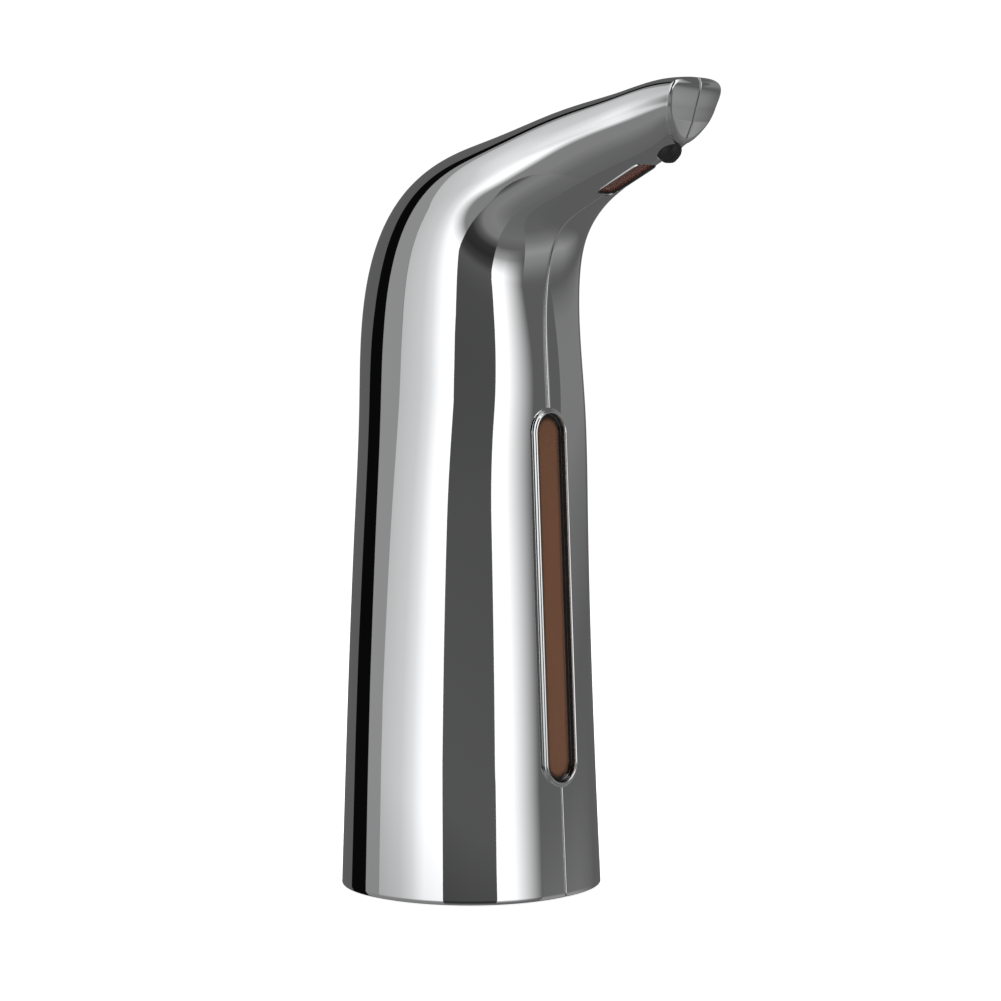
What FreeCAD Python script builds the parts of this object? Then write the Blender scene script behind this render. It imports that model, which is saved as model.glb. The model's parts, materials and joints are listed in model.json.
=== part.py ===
import FreeCAD, Part
import Sketcher
import math
import os

from FreeCAD import Placement, Rotation, Vector

# Free-standing automatic soap dispenser: a round chrome column that bends forward into a spout.
# Millimetres, +Z up, the front faces -Y, +X is to the right seen from the front.
# The origin is the centre of the round base, on the plane that the dispenser stands on.

doc = FreeCAD.newDocument("soap_dispenser")
sheet = doc.addObject("Spreadsheet::Sheet", "Sizes")

X_AXIS = Vector(1, 0, 0)
Y_AXIS = Vector(0, 1, 0)
Z_AXIS = Vector(0, 0, 1)


# ---------------------------------------------------------------- sizes and their formulas

class Size:
    """A number together with the spreadsheet formula it comes from."""

    def __init__(self, value, formula):
        self.value = float(value)
        self.formula = formula

    def __add__(self, other):
        other = as_size(other)
        return Size(self.value + other.value, f"({self.formula} + {other.formula})")

    def __sub__(self, other):
        other = as_size(other)
        return Size(self.value - other.value, f"({self.formula} - {other.formula})")

    def __mul__(self, other):
        other = as_size(other)
        return Size(self.value * other.value, f"({self.formula} * {other.formula})")

    def __truediv__(self, other):
        other = as_size(other)
        return Size(self.value / other.value, f"({self.formula} / {other.formula})")

    def __neg__(self):
        return Size(-self.value, f"(0 - {self.formula})")

    def __radd__(self, other):
        return as_size(other) + self

    def __rsub__(self, other):
        return as_size(other) - self

    def __float__(self):
        return self.value


def as_size(number):
    return number if isinstance(number, Size) else Size(number, f"{float(number):.6f}")


sheet_row = 0


def size(alias, value):
    """Write one driving dimension to the sheet and return it."""
    global sheet_row
    sheet_row += 1
    sheet.set(f"A{sheet_row}", alias)
    sheet.set(f"B{sheet_row}", str(value))
    sheet.setAlias(f"B{sheet_row}", alias)
    return Size(value, f"Sizes.{alias}")


# ---------------------------------------------------------------- driving dimensions

wall = size("wall", 2.4)
case_lift = size("case_lift", 0.6)
nose_round = size("nose_round", 3.0)
nose_wall = size("nose_wall", 3.2)
front_tilt = size("front_tilt", 2.6)

# Cross-sections of the case, from the base to the nose. Each lies in a plane across the mid-plane:
# reach and height place its front (or keel) point, tilt turns the plane up from level, depth runs
# back from that point, half_width is sideways, pinch narrows the keel side, square and crown square
# the corners of the front and of the back, and lift moves the widest line towards the back.
SECTION_FIELDS = ("reach", "height", "tilt", "depth", "half_width", "pinch", "square", "crown", "lift")
SECTIONS = (
    (39.0, 0.6, 0, 79.1, 39.8, 0, 2.12, 2.0, 0),
    (33.2, 115, 0, 67.9, 36.0, 0, 2.34, 2.0, 0),
    (31.7, 147, 2, 64.8, 34.6, 0, 2.5, 2.0, 0),
    (30.5, 174, 11, 62.3, 33.2, 0.04, 2.5, 2.0, 0),
    (32.3, 192, 24, 52.2, 32.2, 0.10, 2.45, 2.0, 0.01),
    (38.9, 203, 50, 33.0, 28.6, 0.15, 2.4, 2.15, 0.04),
    (52.8, 210.3, 71, 26.6, 22.4, 0.31, 2.3, 2.5, 0.06),
    (66.5, 216.8, 88.6, 23.2, 17.5, 0.37, 2.3, 2.7, 0.07),
    (78.0, 222.0, 98.7, 21.3, 14.4, 0.42, 2.3, 2.9, 0.07),
    (82.4, 224.4, 109, 19.8, 14.3, 0.50, 2.3, 2.9, 0.07),
)
section_sizes = []
for number, values in enumerate(SECTIONS):
    names = [f"section{number}_{field}" for field in SECTION_FIELDS]
    section_sizes.append([size(name, value) for name, value in zip(names, values)])

window_low = size("window_low", 33.5)
window_length = size("window_length", 114.5)
window_width = size("window_width", 16.7)
window_reach = size("window_reach", 34.7)
bezel_proud = size("bezel_proud", 0.9)
bezel_flange = size("bezel_flange", 1.9)
bezel_rim = size("bezel_rim", 2.4)
bezel_sleeve = size("bezel_sleeve", 0.9)
lens_thick = size("lens_thick", 1.5)
fit_gap = size("fit_gap", 0.1)

eye_reach = size("eye_reach", 62.4)
eye_height = size("eye_height", 214.7)
eye_tilt = size("eye_tilt", 25)
eye_length = size("eye_length", 20.4)
eye_width = size("eye_width", 10)
eye_corner = size("eye_corner", 3.2)
eye_rim = size("eye_rim", 0.9)
eye_ledge = size("eye_ledge", 1.1)
eye_depth = size("eye_depth", 8.1)
eye_lens_thick = size("eye_lens_thick", 1.2)

outlet_reach = size("outlet_reach", 78.4)
outlet_tip = size("outlet_tip", 219.2)
outlet_radius = size("outlet_radius", 3.8)

tank_low = size("tank_low", 31)
tank_high = size("tank_high", 149)
tank_radius_low = size("tank_radius_low", 34.2)
tank_radius_high = size("tank_radius_high", 29.0)
tank_wall = size("tank_wall", 1.8)
tank_back = size("tank_back", 1.0)
lid_thick = size("lid_thick", 3)
seal_thick = size("seal_thick", 1)

filler_back = size("filler_back", 20.8)
filler_height = size("filler_height", 208.4)
filler_tilt = size("filler_tilt", 58)
cap_radius = size("cap_radius", 10.5)
neck_radius = size("neck_radius", 9.5)
neck_bore = size("neck_bore", 7.6)
neck_back = size("neck_back", 12)

pump_reach = size("pump_reach", 9)
gear_module = size("gear_module", 0.8)
gear_teeth = size("gear_teeth", 12)
gear_face = size("gear_face", 5)
pump_low = size("pump_low", 153.4)
pump_floor = size("pump_floor", 1.8)
pump_radius = size("pump_radius", 7.6)
cover_thick = size("cover_thick", 2)
plate_thick = size("plate_thick", 1.5)
shaft_radius = size("shaft_radius", 1.0)
motor_radius = size("motor_radius", 9)
motor_length = size("motor_length", 24.5)
port_side = size("port_side", 12)
tube_radius = size("tube_radius", 2.4)
tube_bore = size("tube_bore", 1.5)

cell_radius = size("cell_radius", 5.25)
cell_length = size("cell_length", 43.3)
cell_pitch = size("cell_pitch", 11.3)
cell_low = size("cell_low", 10.2)
base_radius = size("base_radius", 36.3)
base_low = size("base_low", 1.2)
base_high = size("base_high", 3.6)
door_width = size("door_width", 28)
door_length = size("door_length", 54)
door_low = size("door_low", 1.5)
door_high = size("door_high", 3.4)
rest_inner = size("rest_inner", 31)
rest_outer = size("rest_outer", 36.3)
screw_ring = size("screw_ring", 33.6)
screw_radius = size("screw_radius", 1.25)
switch_side = size("switch_side", 23)
switch_travel = size("switch_travel", 2.5)

doc.recompute()


# ---------------------------------------------------------------- document helpers

nodes = []


def node(obj, label):
    """Register a finished sub-part under the name of its file."""
    obj.Label = label
    nodes.append(obj)
    return obj


def bind(obj, prop, value):
    obj.setExpression(prop, as_size(value).formula)


def locate(obj, x=0, y=0, z=0, rotation=None):
    """Place an object and bind its position to the sheet."""
    x, y, z = as_size(x), as_size(y), as_size(z)
    obj.Placement = Placement(Vector(x.value, y.value, z.value), rotation or Rotation())
    for letter, value in zip("xyz", (x, y, z)):
        bind(obj, f"Placement.Base.{letter}", value)
    return obj


def cylinder(name, radius, height, x=0, y=0, z=0, rotation=None):
    obj = doc.addObject("Part::Cylinder", name)
    bind(obj, "Radius", radius)
    bind(obj, "Height", height)
    return locate(obj, x, y, z, rotation)


def cone(name, radius_low, radius_high, height, x=0, y=0, z=0, rotation=None):
    obj = doc.addObject("Part::Cone", name)
    bind(obj, "Radius1", radius_low)
    bind(obj, "Radius2", radius_high)
    bind(obj, "Height", height)
    return locate(obj, x, y, z, rotation)


def sphere(name, radius, x=0, y=0, z=0):
    obj = doc.addObject("Part::Sphere", name)
    bind(obj, "Radius", radius)
    return locate(obj, x, y, z)


def box(name, length, width, height, x=0, y=0, z=0, rotation=None):
    """A block with its corner at x, y, z."""
    obj = doc.addObject("Part::Box", name)
    bind(obj, "Length", length)
    bind(obj, "Width", width)
    bind(obj, "Height", height)
    return locate(obj, x, y, z, rotation)


def mid_box(name, length, width, height, x=0, y=0, z=0):
    """A block centred on x and y and standing on z."""
    length, width = as_size(length), as_size(width)
    return box(name, length, width, height, as_size(x) - length / 2, as_size(y) - width / 2, z)


def fuse(name, *parts):
    obj = doc.addObject("Part::MultiFuse", name)
    obj.Shapes = list(parts)
    return obj


def group(name, parts):
    obj = doc.addObject("Part::Compound", name)
    obj.Links = list(parts)
    return obj


def cut(name, base, *tools):
    obj = doc.addObject("Part::Cut", name)
    obj.Base = base
    obj.Tool = tools[0] if len(tools) == 1 else fuse(name + "_tools", *tools)
    return obj


def common(name, base, tool):
    obj = doc.addObject("Part::Common", name)
    obj.Base = base
    obj.Tool = tool
    return obj


def mirror_x(name, source):
    obj = doc.addObject("Part::Mirroring", name)
    obj.Source = source
    obj.Base = Vector(0, 0, 0)
    obj.Normal = X_AXIS
    return obj


# ---------------------------------------------------------------- PartDesign helpers

def new_body(name):
    return doc.addObject("PartDesign::Body", name)


def new_sketch(body, role, name, offset=0):
    """A sketch on one of the body's own origin planes, moved along the plane's normal."""
    plane = [feature for feature in body.Origin.OriginFeatures if feature.Role == role][0]
    sketch = body.newObject("Sketcher::SketchObject", name)
    sketch.AttachmentSupport = (plane, [""])
    sketch.MapMode = "FlatFace"
    bind(sketch, "AttachmentOffset.Base.z", offset)
    return sketch


def pin_point(sketch, edge, point, x, y):
    """Fix one point of a sketch edge at x, y, each bound to the sheet."""
    for kind, axis, value in (("DistanceX", -2, as_size(x)), ("DistanceY", -1, as_size(y))):
        if abs(value.value) < 1e-9:
            sketch.addConstraint(Sketcher.Constraint("PointOnObject", edge, point, axis))
        else:
            index = sketch.addConstraint(
                Sketcher.Constraint(kind, -1, 1, edge, point, value.value))
            bind(sketch, f"Constraints[{index}]", value)


def draw_outline(sketch, points):
    """A closed outline of straight edges through bound points."""
    points = [(as_size(x), as_size(y)) for x, y in points]
    count = len(points)
    first = sketch.GeometryCount
    for index in range(count):
        (x0, y0), (x1, y1) = points[index], points[(index + 1) % count]
        start, end = Vector(x0.value, y0.value, 0), Vector(x1.value, y1.value, 0)
        sketch.addGeometry(Part.LineSegment(start, end), False)
    for index in range(count):
        following = first + (index + 1) % count
        sketch.addConstraint(Sketcher.Constraint("Coincident", first + index, 2, following, 1))
        pin_point(sketch, first + index, 1, *points[index])


def draw_rectangle(sketch, length, height, x=0, y=0):
    """A rectangle centred on x, y."""
    x, y = as_size(x), as_size(y)
    half_x, half_y = as_size(length) / 2, as_size(height) / 2
    draw_outline(sketch, [(x - half_x, y - half_y), (x + half_x, y - half_y),
                          (x + half_x, y + half_y), (x - half_x, y + half_y)])


def draw_circle(sketch, radius, x=0, y=0):
    radius, x, y = as_size(radius), as_size(x), as_size(y)
    centre = Vector(x.value, y.value, 0)
    edge = sketch.addGeometry(Part.Circle(centre, Z_AXIS, radius.value), False)
    pin_point(sketch, edge, 3, x, y)
    index = sketch.addConstraint(Sketcher.Constraint("Radius", edge, radius.value))
    bind(sketch, f"Constraints[{index}]", radius)


def draw_slot(sketch, width, length, upright=True):
    """A slot with round ends, centred on the sketch's origin."""
    radius = as_size(width) / 2
    half = as_size(length) / 2 - radius
    r, d = radius.value, half.value
    turn = 0 if upright else -math.pi / 2

    def at(x, y):
        return Vector(x * math.cos(turn) - y * math.sin(turn), x * math.sin(turn) + y * math.cos(turn), 0)

    def arc(y, start):
        circle = Part.Circle(at(0, y), Z_AXIS, r)
        return sketch.addGeometry(Part.ArcOfCircle(circle, start + turn, start + turn + math.pi), False)

    far = arc(d, 0)
    near = arc(-d, math.pi)
    left = sketch.addGeometry(Part.LineSegment(at(-r, d), at(-r, -d)), False)
    right = sketch.addGeometry(Part.LineSegment(at(r, -d), at(r, d)), False)
    for first, first_end, second, second_end in ((far, 2, left, 1), (left, 2, near, 1),
                                                 (near, 2, right, 1), (right, 2, far, 1)):
        sketch.addConstraint(Sketcher.Constraint("Tangent", first, first_end, second, second_end))
    sketch.addConstraint(Sketcher.Constraint("Equal", far, near))
    index = sketch.addConstraint(Sketcher.Constraint("Radius", far, r))
    bind(sketch, f"Constraints[{index}]", radius)
    if upright:
        pin_point(sketch, far, 3, 0, half)
        pin_point(sketch, near, 3, 0, -half)
    else:
        pin_point(sketch, far, 3, half, 0)
        pin_point(sketch, near, 3, -half, 0)


def pad(body, sketch, length, reversed_side=False):
    feature = body.newObject("PartDesign::Pad", sketch.Name + "_pad")
    feature.Profile = sketch
    feature.Reversed = reversed_side
    bind(feature, "Length", length)
    sketch.Visibility = False
    body.Tip = feature
    return feature


def pocket(body, sketch, length, reversed_side=False):
    feature = body.newObject("PartDesign::Pocket", sketch.Name + "_pocket")
    feature.Profile = sketch
    feature.Reversed = reversed_side
    bind(feature, "Length", length)
    body.Tip = feature
    return feature


def turned_body(name, points):
    """A piece turned about its own vertical axis from an outline of radius and height."""
    body = new_body(name)
    sketch = new_sketch(body, "XZ_Plane", name + "_profile")
    draw_outline(sketch, points)
    feature = body.newObject("PartDesign::Revolution", name + "_turn")
    feature.Profile = sketch
    feature.ReferenceAxis = (sketch, ["V_Axis"])
    feature.Angle = 360
    body.Tip = feature
    return body


def block_body(name, draw, role, length, offset=0, holes=()):
    """A flat piece: a drawn outline, padded along its plane's normal, with drawn holes through it."""
    body = new_body(name)
    sketch = new_sketch(body, role, name + "_outline", offset)
    draw(sketch)
    pad(body, sketch, length)
    for index, draw_hole in enumerate(holes):
        hole = new_sketch(body, role, f"{name}_hole{index}", as_size(offset) + length)
        draw_hole(hole)
        pocket(body, hole, length)
    return body


# ---------------------------------------------------------------- the case's outer form

def knot_lengths(sections):
    """Distance along the middle of the case at each section."""
    def middle(section):
        reach, height, tilt, depth = section[:4]
        angle = math.radians(tilt)
        return reach - depth / 2 * math.cos(angle), height + depth / 2 * math.sin(angle)

    lengths = [0.0]
    for before, after in zip(sections, sections[1:]):
        (x0, y0), (x1, y1) = middle(before), middle(after)
        lengths.append(lengths[-1] + math.hypot(x1 - x0, y1 - y0))
    return lengths


def knot_slope(knots, values, index):
    last = len(knots) - 1
    if index in (0, last):
        a, b = (0, 1) if index == 0 else (last - 1, last)
        return (values[b] - values[a]) / (knots[b] - knots[a])
    before = (values[index] - values[index - 1]) / (knots[index] - knots[index - 1])
    after = (values[index + 1] - values[index]) / (knots[index + 1] - knots[index])
    weight = (knots[index] - knots[index - 1]) / (knots[index + 1] - knots[index - 1])
    return before * (1 - weight) + after * weight


def smooth_value(knots, values, along):
    """Cubic curve through the values, one at each knot."""
    index = max(0, min(len(knots) - 2, sum(1 for knot in knots[1:-1] if knot <= along)))
    span = knots[index + 1] - knots[index]
    t = (along - knots[index]) / span
    start, end = values[index], values[index + 1]
    slope_start = knot_slope(knots, values, index) * span
    slope_end = knot_slope(knots, values, index + 1) * span
    return ((2 * t ** 3 - 3 * t ** 2 + 1) * start + (t ** 3 - 2 * t ** 2 + t) * slope_start
            + (3 * t ** 2 - 2 * t ** 3) * end + (t ** 3 - t ** 2) * slope_end)


def signed_power(number, power):
    return math.copysign(abs(number) ** power, number)


def section_points(section, count):
    """Half of one cross-section, from the front or keel round one side to the back."""
    reach, height, tilt, depth, half_width, pinch, square, crown, lift = section
    angle = math.radians(tilt)
    points = []
    for index in range(count + 1):
        turn = math.pi * index / count
        cosine, sine = math.cos(turn), abs(math.sin(turn))
        power = 2 / (square + (crown - square) * (1 - cosine) / 2)
        part = (1 - signed_power(cosine, power)) / 2
        across = depth * (part + lift * math.sin(math.pi * part))
        side = half_width * sine ** power * (1 - pinch * (1 + cosine) / 2)
        points.append(Vector(side, -(reach - across * math.cos(angle)), height + across * math.sin(angle)))
    points[0].x = 0
    points[-1].x = 0
    return points


def inset_section(section, inset):
    """The same section, smaller by a wall all round."""
    reach, height, tilt, depth, half_width, *shape = section
    angle = math.radians(tilt)
    return [reach - inset * math.cos(angle), height + inset * math.sin(angle), tilt,
            depth - 2 * inset, half_width - inset, *shape]


AROUND = 26
ALONG = 40
ROUNDING = 5


def skin_rows(sections, shortening=0):
    knots = knot_lengths(sections)
    end = knots[-1] - shortening
    rows = []
    for index in range(ALONG + 1):
        along = end * index / ALONG
        values = [smooth_value(knots, column, along) for column in zip(*sections)]
        rows.append(section_points(values, AROUND))
    return rows


def rounding_rows(section, radius):
    """Rows that round the nose over, from the last section to the smaller flat end face."""
    tilt = math.radians(section[2])
    forward = Vector(0, -math.sin(tilt), math.cos(tilt))
    rows = []
    for index in range(ROUNDING + 1):
        angle = math.pi / 2 * index / ROUNDING
        inset = inset_section(section, radius * (1 - math.cos(angle)))
        shift = forward * (radius * 0.6 * math.sin(angle))
        rows.append([point + shift for point in section_points(inset, AROUND)])
    return rows


def half_solid(rows):
    """The solid between the mid-plane and a smooth skin through rows of points."""
    skin = Part.BSplineSurface()
    skin.interpolate(rows)
    u_low, u_high, v_low, v_high = skin.bounds()
    base, nose = skin.uIso(u_low).toShape(), skin.uIso(u_high).toShape()
    front, back = skin.vIso(v_low).toShape(), skin.vIso(v_high).toShape()

    def closing_line(edge):
        start, end = [vertex.Point for vertex in edge.Vertexes]
        return Part.LineSegment(start, end).toShape()

    def flat_face(edges):
        return Part.Face(Part.Wire(Part.__sortEdges__(edges)))

    faces = [
        skin.toShape(),
        flat_face([base, closing_line(base)]),
        flat_face([nose, closing_line(nose)]),
        flat_face([front, back, closing_line(base), closing_line(nose)]),
    ]
    shell = Part.makeShell(faces)
    shell.sewShape()
    solid = Part.makeSolid(shell)
    if solid.Volume < 0:
        solid.reverse()
    return solid


outer_sections = [[cell.value for cell in row] for row in section_sizes]
inner_sections = [inset_section(section, wall.value) for section in outer_sections]
inner_sections[0][1] = -1.0
nose_rows = rounding_rows(outer_sections[-1], nose_round.value)

case_outer = doc.addObject("Part::Feature", "case_outer")
case_outer.Shape = half_solid(skin_rows(outer_sections) + nose_rows[1:])
case_outer.Placement = Placement()
case_inner = doc.addObject("Part::Feature", "case_inner")
case_inner.Shape = half_solid(skin_rows(inner_sections, nose_wall.value))
case_inner.Placement = Placement()

half_blank = cut("half_blank", case_outer, case_inner)

# Hollow posts inside the wall: five pairs meet on the mid-plane and carry the halves' pins.
POSTS = {
    "base_front": (34.0, 26.0),
    "base_back": (-34.5, 26.0),
    "shoulder": (-26.0, 180.0),
    "bend": (40.0, 232.6),
    "nose": (62.0, 237.2),
}
post_radius = size("post_radius", 2.6)
pin_radius = size("pin_radius", 1.2)
pin_length = size("pin_length", 3)
SIDEWAYS = Rotation(Y_AXIS, 90)
post_blanks = []
pin_holes = []
pins = []
for post_name, (post_reach, post_height) in POSTS.items():
    reach = size(f"post_{post_name}_reach", post_reach)
    height = size(f"post_{post_name}_height", post_height)
    post_blanks.append(cylinder(f"{post_name}_post", post_radius, 40, 0, -reach, height, SIDEWAYS))
    pin_holes.append(cylinder(f"{post_name}_pin_hole", pin_radius + fit_gap, pin_length + 0.4,
                              0, -reach, height, SIDEWAYS))
    pins.append(cylinder(f"{post_name}_pin", pin_radius, pin_length * 2, -pin_length,
                         -reach, height, SIDEWAYS))

# Screw posts that stand inside the foot of each half, for the base's screws.
SCREW_ANGLES = (45, 135)
screw_posts = []
screw_holes = []
for angle in SCREW_ANGLES:
    x = screw_ring * math.sin(math.radians(angle))
    y = screw_ring * -math.cos(math.radians(angle))
    screw_posts.append(cylinder(f"screw_post_{angle}", 4.4, 10, x, y, base_high + 0.1))
    screw_holes.append(cylinder(f"screw_hole_{angle}", screw_radius + 0.05, 8.5, x, y, base_high))
case_posts = common("case_posts", fuse("post_set", *post_blanks, *screw_posts), case_outer)
half_case = fuse("half_case", half_blank, case_posts)


# ---------------------------------------------------------------- openings in the case

FRONT_TILT = Rotation(X_AXIS, -front_tilt.value)
window_height = window_low + window_length / 2


def slot_piece(name, width, length, depth, front, hole=None):
    """A slot-shaped piece in the front wall, from front (outwards of the wall) back by depth."""
    body = new_body(name)
    sketch = new_sketch(body, "XZ_Plane", name + "_outline", front)
    draw_slot(sketch, width, length)
    pad(body, sketch, depth, reversed_side=True)
    for index, (hole_width, hole_length, hole_depth, hole_front) in enumerate(hole or ()):
        opening = new_sketch(body, "XZ_Plane", f"{name}_opening{index}", hole_front)
        draw_slot(opening, hole_width, hole_length)
        pocket(body, opening, hole_depth)
    return locate(body, 0, -window_reach, window_height, FRONT_TILT)


sleeve_width = window_width - 1.7
sleeve_length = window_length - 1.7
flange_depth = bezel_flange - bezel_proud
window_recess = slot_piece("window_recess", window_width + 0.2, window_length + 0.2,
                           flange_depth + 6, 6)
window_hole = slot_piece("window_hole", sleeve_width + 0.2, sleeve_length + 0.2, 12, 6)

EYE_TILT = Rotation(X_AXIS, -eye_tilt.value)


def rounded_block(name, length, width, depth, top, corner, holes=()):
    """A round-cornered block under the spout, measured down its own tilted axis."""
    body = new_body(name)
    sketch = new_sketch(body, "XY_Plane", name + "_outline", top)
    draw_rectangle(sketch, width, length)
    base = pad(body, sketch, depth)
    doc.recompute()
    round_upright_edges(body, base, corner)
    for index, (hole_length, hole_width, hole_depth, hole_top, hole_corner) in enumerate(holes):
        opening = rounded_block_sketch(body, f"{name}_opening{index}", hole_length, hole_width,
                                       hole_top, hole_corner)
        pocket(body, opening, hole_depth, reversed_side=True)
    return locate(body, 0, -eye_reach, eye_height, EYE_TILT)


def rounded_block_sketch(body, name, length, width, top, corner):
    """A rectangle with round corners, centred on the sketch's origin."""
    sketch = new_sketch(body, "XY_Plane", name, top)
    half_x, half_y, radius = as_size(width) / 2, as_size(length) / 2, as_size(corner)
    in_x, in_y = half_x - radius, half_y - radius
    corners = ((1, 1, 0), (-1, 1, 90), (-1, -1, 180), (1, -1, 270))
    arcs = []
    for sign_x, sign_y, start in corners:
        centre = Vector(sign_x * in_x.value, sign_y * in_y.value, 0)
        circle = Part.Circle(centre, Z_AXIS, radius.value)
        low, high = math.radians(start), math.radians(start + 90)
        arcs.append(sketch.addGeometry(Part.ArcOfCircle(circle, low, high), False))
    for index, arc in enumerate(arcs):
        following = arcs[(index + 1) % 4]
        start = sketch.Geometry[arc].EndPoint
        end = sketch.Geometry[following].StartPoint
        side = sketch.addGeometry(Part.LineSegment(start, end), False)
        sketch.addConstraint(Sketcher.Constraint("Tangent", arc, 2, side, 1))
        sketch.addConstraint(Sketcher.Constraint("Tangent", side, 2, following, 1))
        sign_x, sign_y, _ = corners[index]
        pin_point(sketch, arc, 3, in_x * sign_x, in_y * sign_y)
        if index == 0:
            number = sketch.addConstraint(Sketcher.Constraint("Radius", arc, radius.value))
            bind(sketch, f"Constraints[{number}]", radius)
    return sketch


def round_upright_edges(body, base, radius):
    """Fillet the edges of a padded block that run along its axis."""
    edges = []
    for index, edge in enumerate(base.Shape.Edges, 1):
        if edge.Curve.TypeId == "Part::GeomLine" and abs(edge.tangentAt(edge.FirstParameter).z) > 0.99:
            edges.append(f"Edge{index}")
    fillet = body.newObject("PartDesign::Fillet", base.Name + "_round")
    fillet.Base = (base, edges)
    bind(fillet, "Radius", radius)
    body.Tip = fillet
    return fillet


eye_hole = rounded_block("eye_hole", eye_length + 0.2, eye_width + 0.2, 14, -4, eye_corner)
outlet_hole = cylinder("outlet_hole", outlet_radius + 0.1, 18, 0, -outlet_reach, 214)
FILLER_TILT = Rotation(X_AXIS, -filler_tilt.value)
filler_along_y = math.sin(math.radians(filler_tilt.value))
filler_along_z = math.cos(math.radians(filler_tilt.value))


def filler_cylinder(name, radius, top, length):
    """A round piece on the filler's tilted axis, its top face measured out from the case."""
    low = as_size(top) - length
    return cylinder(name, radius, length, 0, filler_back + low * filler_along_y,
                    filler_height + low * filler_along_z, FILLER_TILT)


filler_hole = filler_cylinder("filler_hole", cap_radius + 0.3, 8, 20)
openings = fuse("openings", window_recess, window_hole, eye_hole, outlet_hole, filler_hole)

right_blank = cut("right_blank", half_case, openings, *screw_holes)
right_case_shell = node(cut("right_case", right_blank, *pin_holes), "right_case_shell")
left_blank = mirror_x("left_blank", right_blank)
left_pins = common("left_pins", group("pin_set", pins), mirror_x("left_outer", case_outer))
right_pins = common("right_pins", group("pin_set_right", pins), case_outer)
left_case_shell = node(fuse("left_case", left_blank, left_pins, right_pins), "left_case_shell")


# ---------------------------------------------------------------- level window

bezel_flange_ring = slot_piece(
    "bezel_flange_ring", window_width, window_length, bezel_flange, bezel_proud,
    hole=((window_width - bezel_rim * 2, window_length - bezel_rim * 2, bezel_flange, bezel_proud),))
bezel_sleeve_ring = slot_piece(
    "bezel_sleeve_ring", sleeve_width, sleeve_length, wall + 0.6 - flange_depth, -flange_depth,
    hole=((sleeve_width - bezel_sleeve * 2, sleeve_length - bezel_sleeve * 2, wall, -flange_depth),))
window_bezel = node(fuse("bezel", bezel_flange_ring, bezel_sleeve_ring), "window_bezel")
lens_width = sleeve_width - bezel_sleeve * 2 - fit_gap * 2
lens_length = sleeve_length - bezel_sleeve * 2 - fit_gap * 2
level_window = node(slot_piece("lens", lens_width, lens_length, lens_thick, -flange_depth), "level_window")


# ---------------------------------------------------------------- sensor eye under the spout

seat_length = eye_length - eye_rim * 2
seat_width = eye_width - eye_rim * 2
eye_face = size("eye_face", -0.3)
lens_face = size("lens_face", 1.2)
seat_depth = lens_face + eye_lens_thick - eye_face
sensor_frame = node(rounded_block(
    "eye_frame", eye_length, eye_width, eye_depth - eye_face, eye_face, eye_corner,
    holes=((seat_length, seat_width, seat_depth, eye_face, eye_corner - eye_rim),
           (seat_length - eye_ledge * 2, seat_width - eye_ledge * 2, eye_depth - eye_face, eye_face,
            eye_corner - eye_rim - eye_ledge))), "sensor_frame")
sensor_lens = node(rounded_block(
    "eye_lens", seat_length - 0.2, seat_width - 0.2, eye_lens_thick, lens_face,
    eye_corner - eye_rim - 0.1), "sensor_lens")
board_length = size("sensor_board_length", 21)
sensor_board = node(rounded_block("eye_board", board_length, 9.6, 1.2, eye_depth, 1), "sensor_board")

eye_along_y = math.cos(math.radians(eye_tilt.value))
eye_along_z = math.sin(math.radians(eye_tilt.value))


def eye_cylinder(name, radius, along, low, high):
    """A round part on the sensor board: along is towards the neck, low and high are depths."""
    low = as_size(low)
    y = -eye_reach + low * eye_along_z + as_size(along) * eye_along_y
    z = eye_height + low * eye_along_y - as_size(along) * eye_along_z
    return cylinder(name, radius, as_size(high) - low, 0, y, z, EYE_TILT)


diode_low = lens_face + eye_lens_thick + 0.6
node(fuse("emitter", eye_cylinder("emitter_dome", 1.5, 5, diode_low, eye_depth),
          eye_cylinder("emitter_flange", 1.8, 5, eye_depth - 0.8, eye_depth)), "ir_emitter")
node(fuse("receiver", eye_cylinder("receiver_dome", 1.5, -5, diode_low, eye_depth),
          eye_cylinder("receiver_flange", 1.8, -5, eye_depth - 0.8, eye_depth)), "ir_receiver")
node(eye_cylinder("led", 0.9, 0, diode_low, eye_depth), "status_led")


# ---------------------------------------------------------------- liquid outlet

nozzle_top = size("nozzle_top", 228.8)
seat_low = size("seat_low", 229.0)
seat_high = size("seat_high", 237)
seat_radius = size("seat_radius", 3.3)
socket_radius = size("socket_radius", 2.65)
valve_low = size("valve_low", 231.6)
barb_radius = size("barb_radius", 1.45)
barb_bore = size("barb_bore", 0.8)
nozzle_rise = nozzle_top - outlet_tip
outlet_nozzle = turned_body("nozzle", [
    (0.8, 0), (1.5, 0), (2.7, 1.0), (3.5, 2.6), (outlet_radius, 4.4), (outlet_radius, nozzle_rise),
    (socket_radius - 0.05, nozzle_rise), (socket_radius - 0.05, valve_low - outlet_tip),
    (0.8, valve_low - outlet_tip)])
node(locate(outlet_nozzle, 0, -outlet_reach, outlet_tip), "outlet_nozzle")

valve_rise = size("valve_rise", 2.6)
check_valve = turned_body("valve", [
    (0.3, 0), (1.0, 0), (1.8, 1.6), (socket_radius - 0.1, 1.6), (socket_radius - 0.1, valve_rise),
    (1.2, valve_rise), (1.2, 1.6), (0.3, 0.4)])
node(locate(check_valve, 0, -outlet_reach, valve_low + 0.05), "check_valve")

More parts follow.
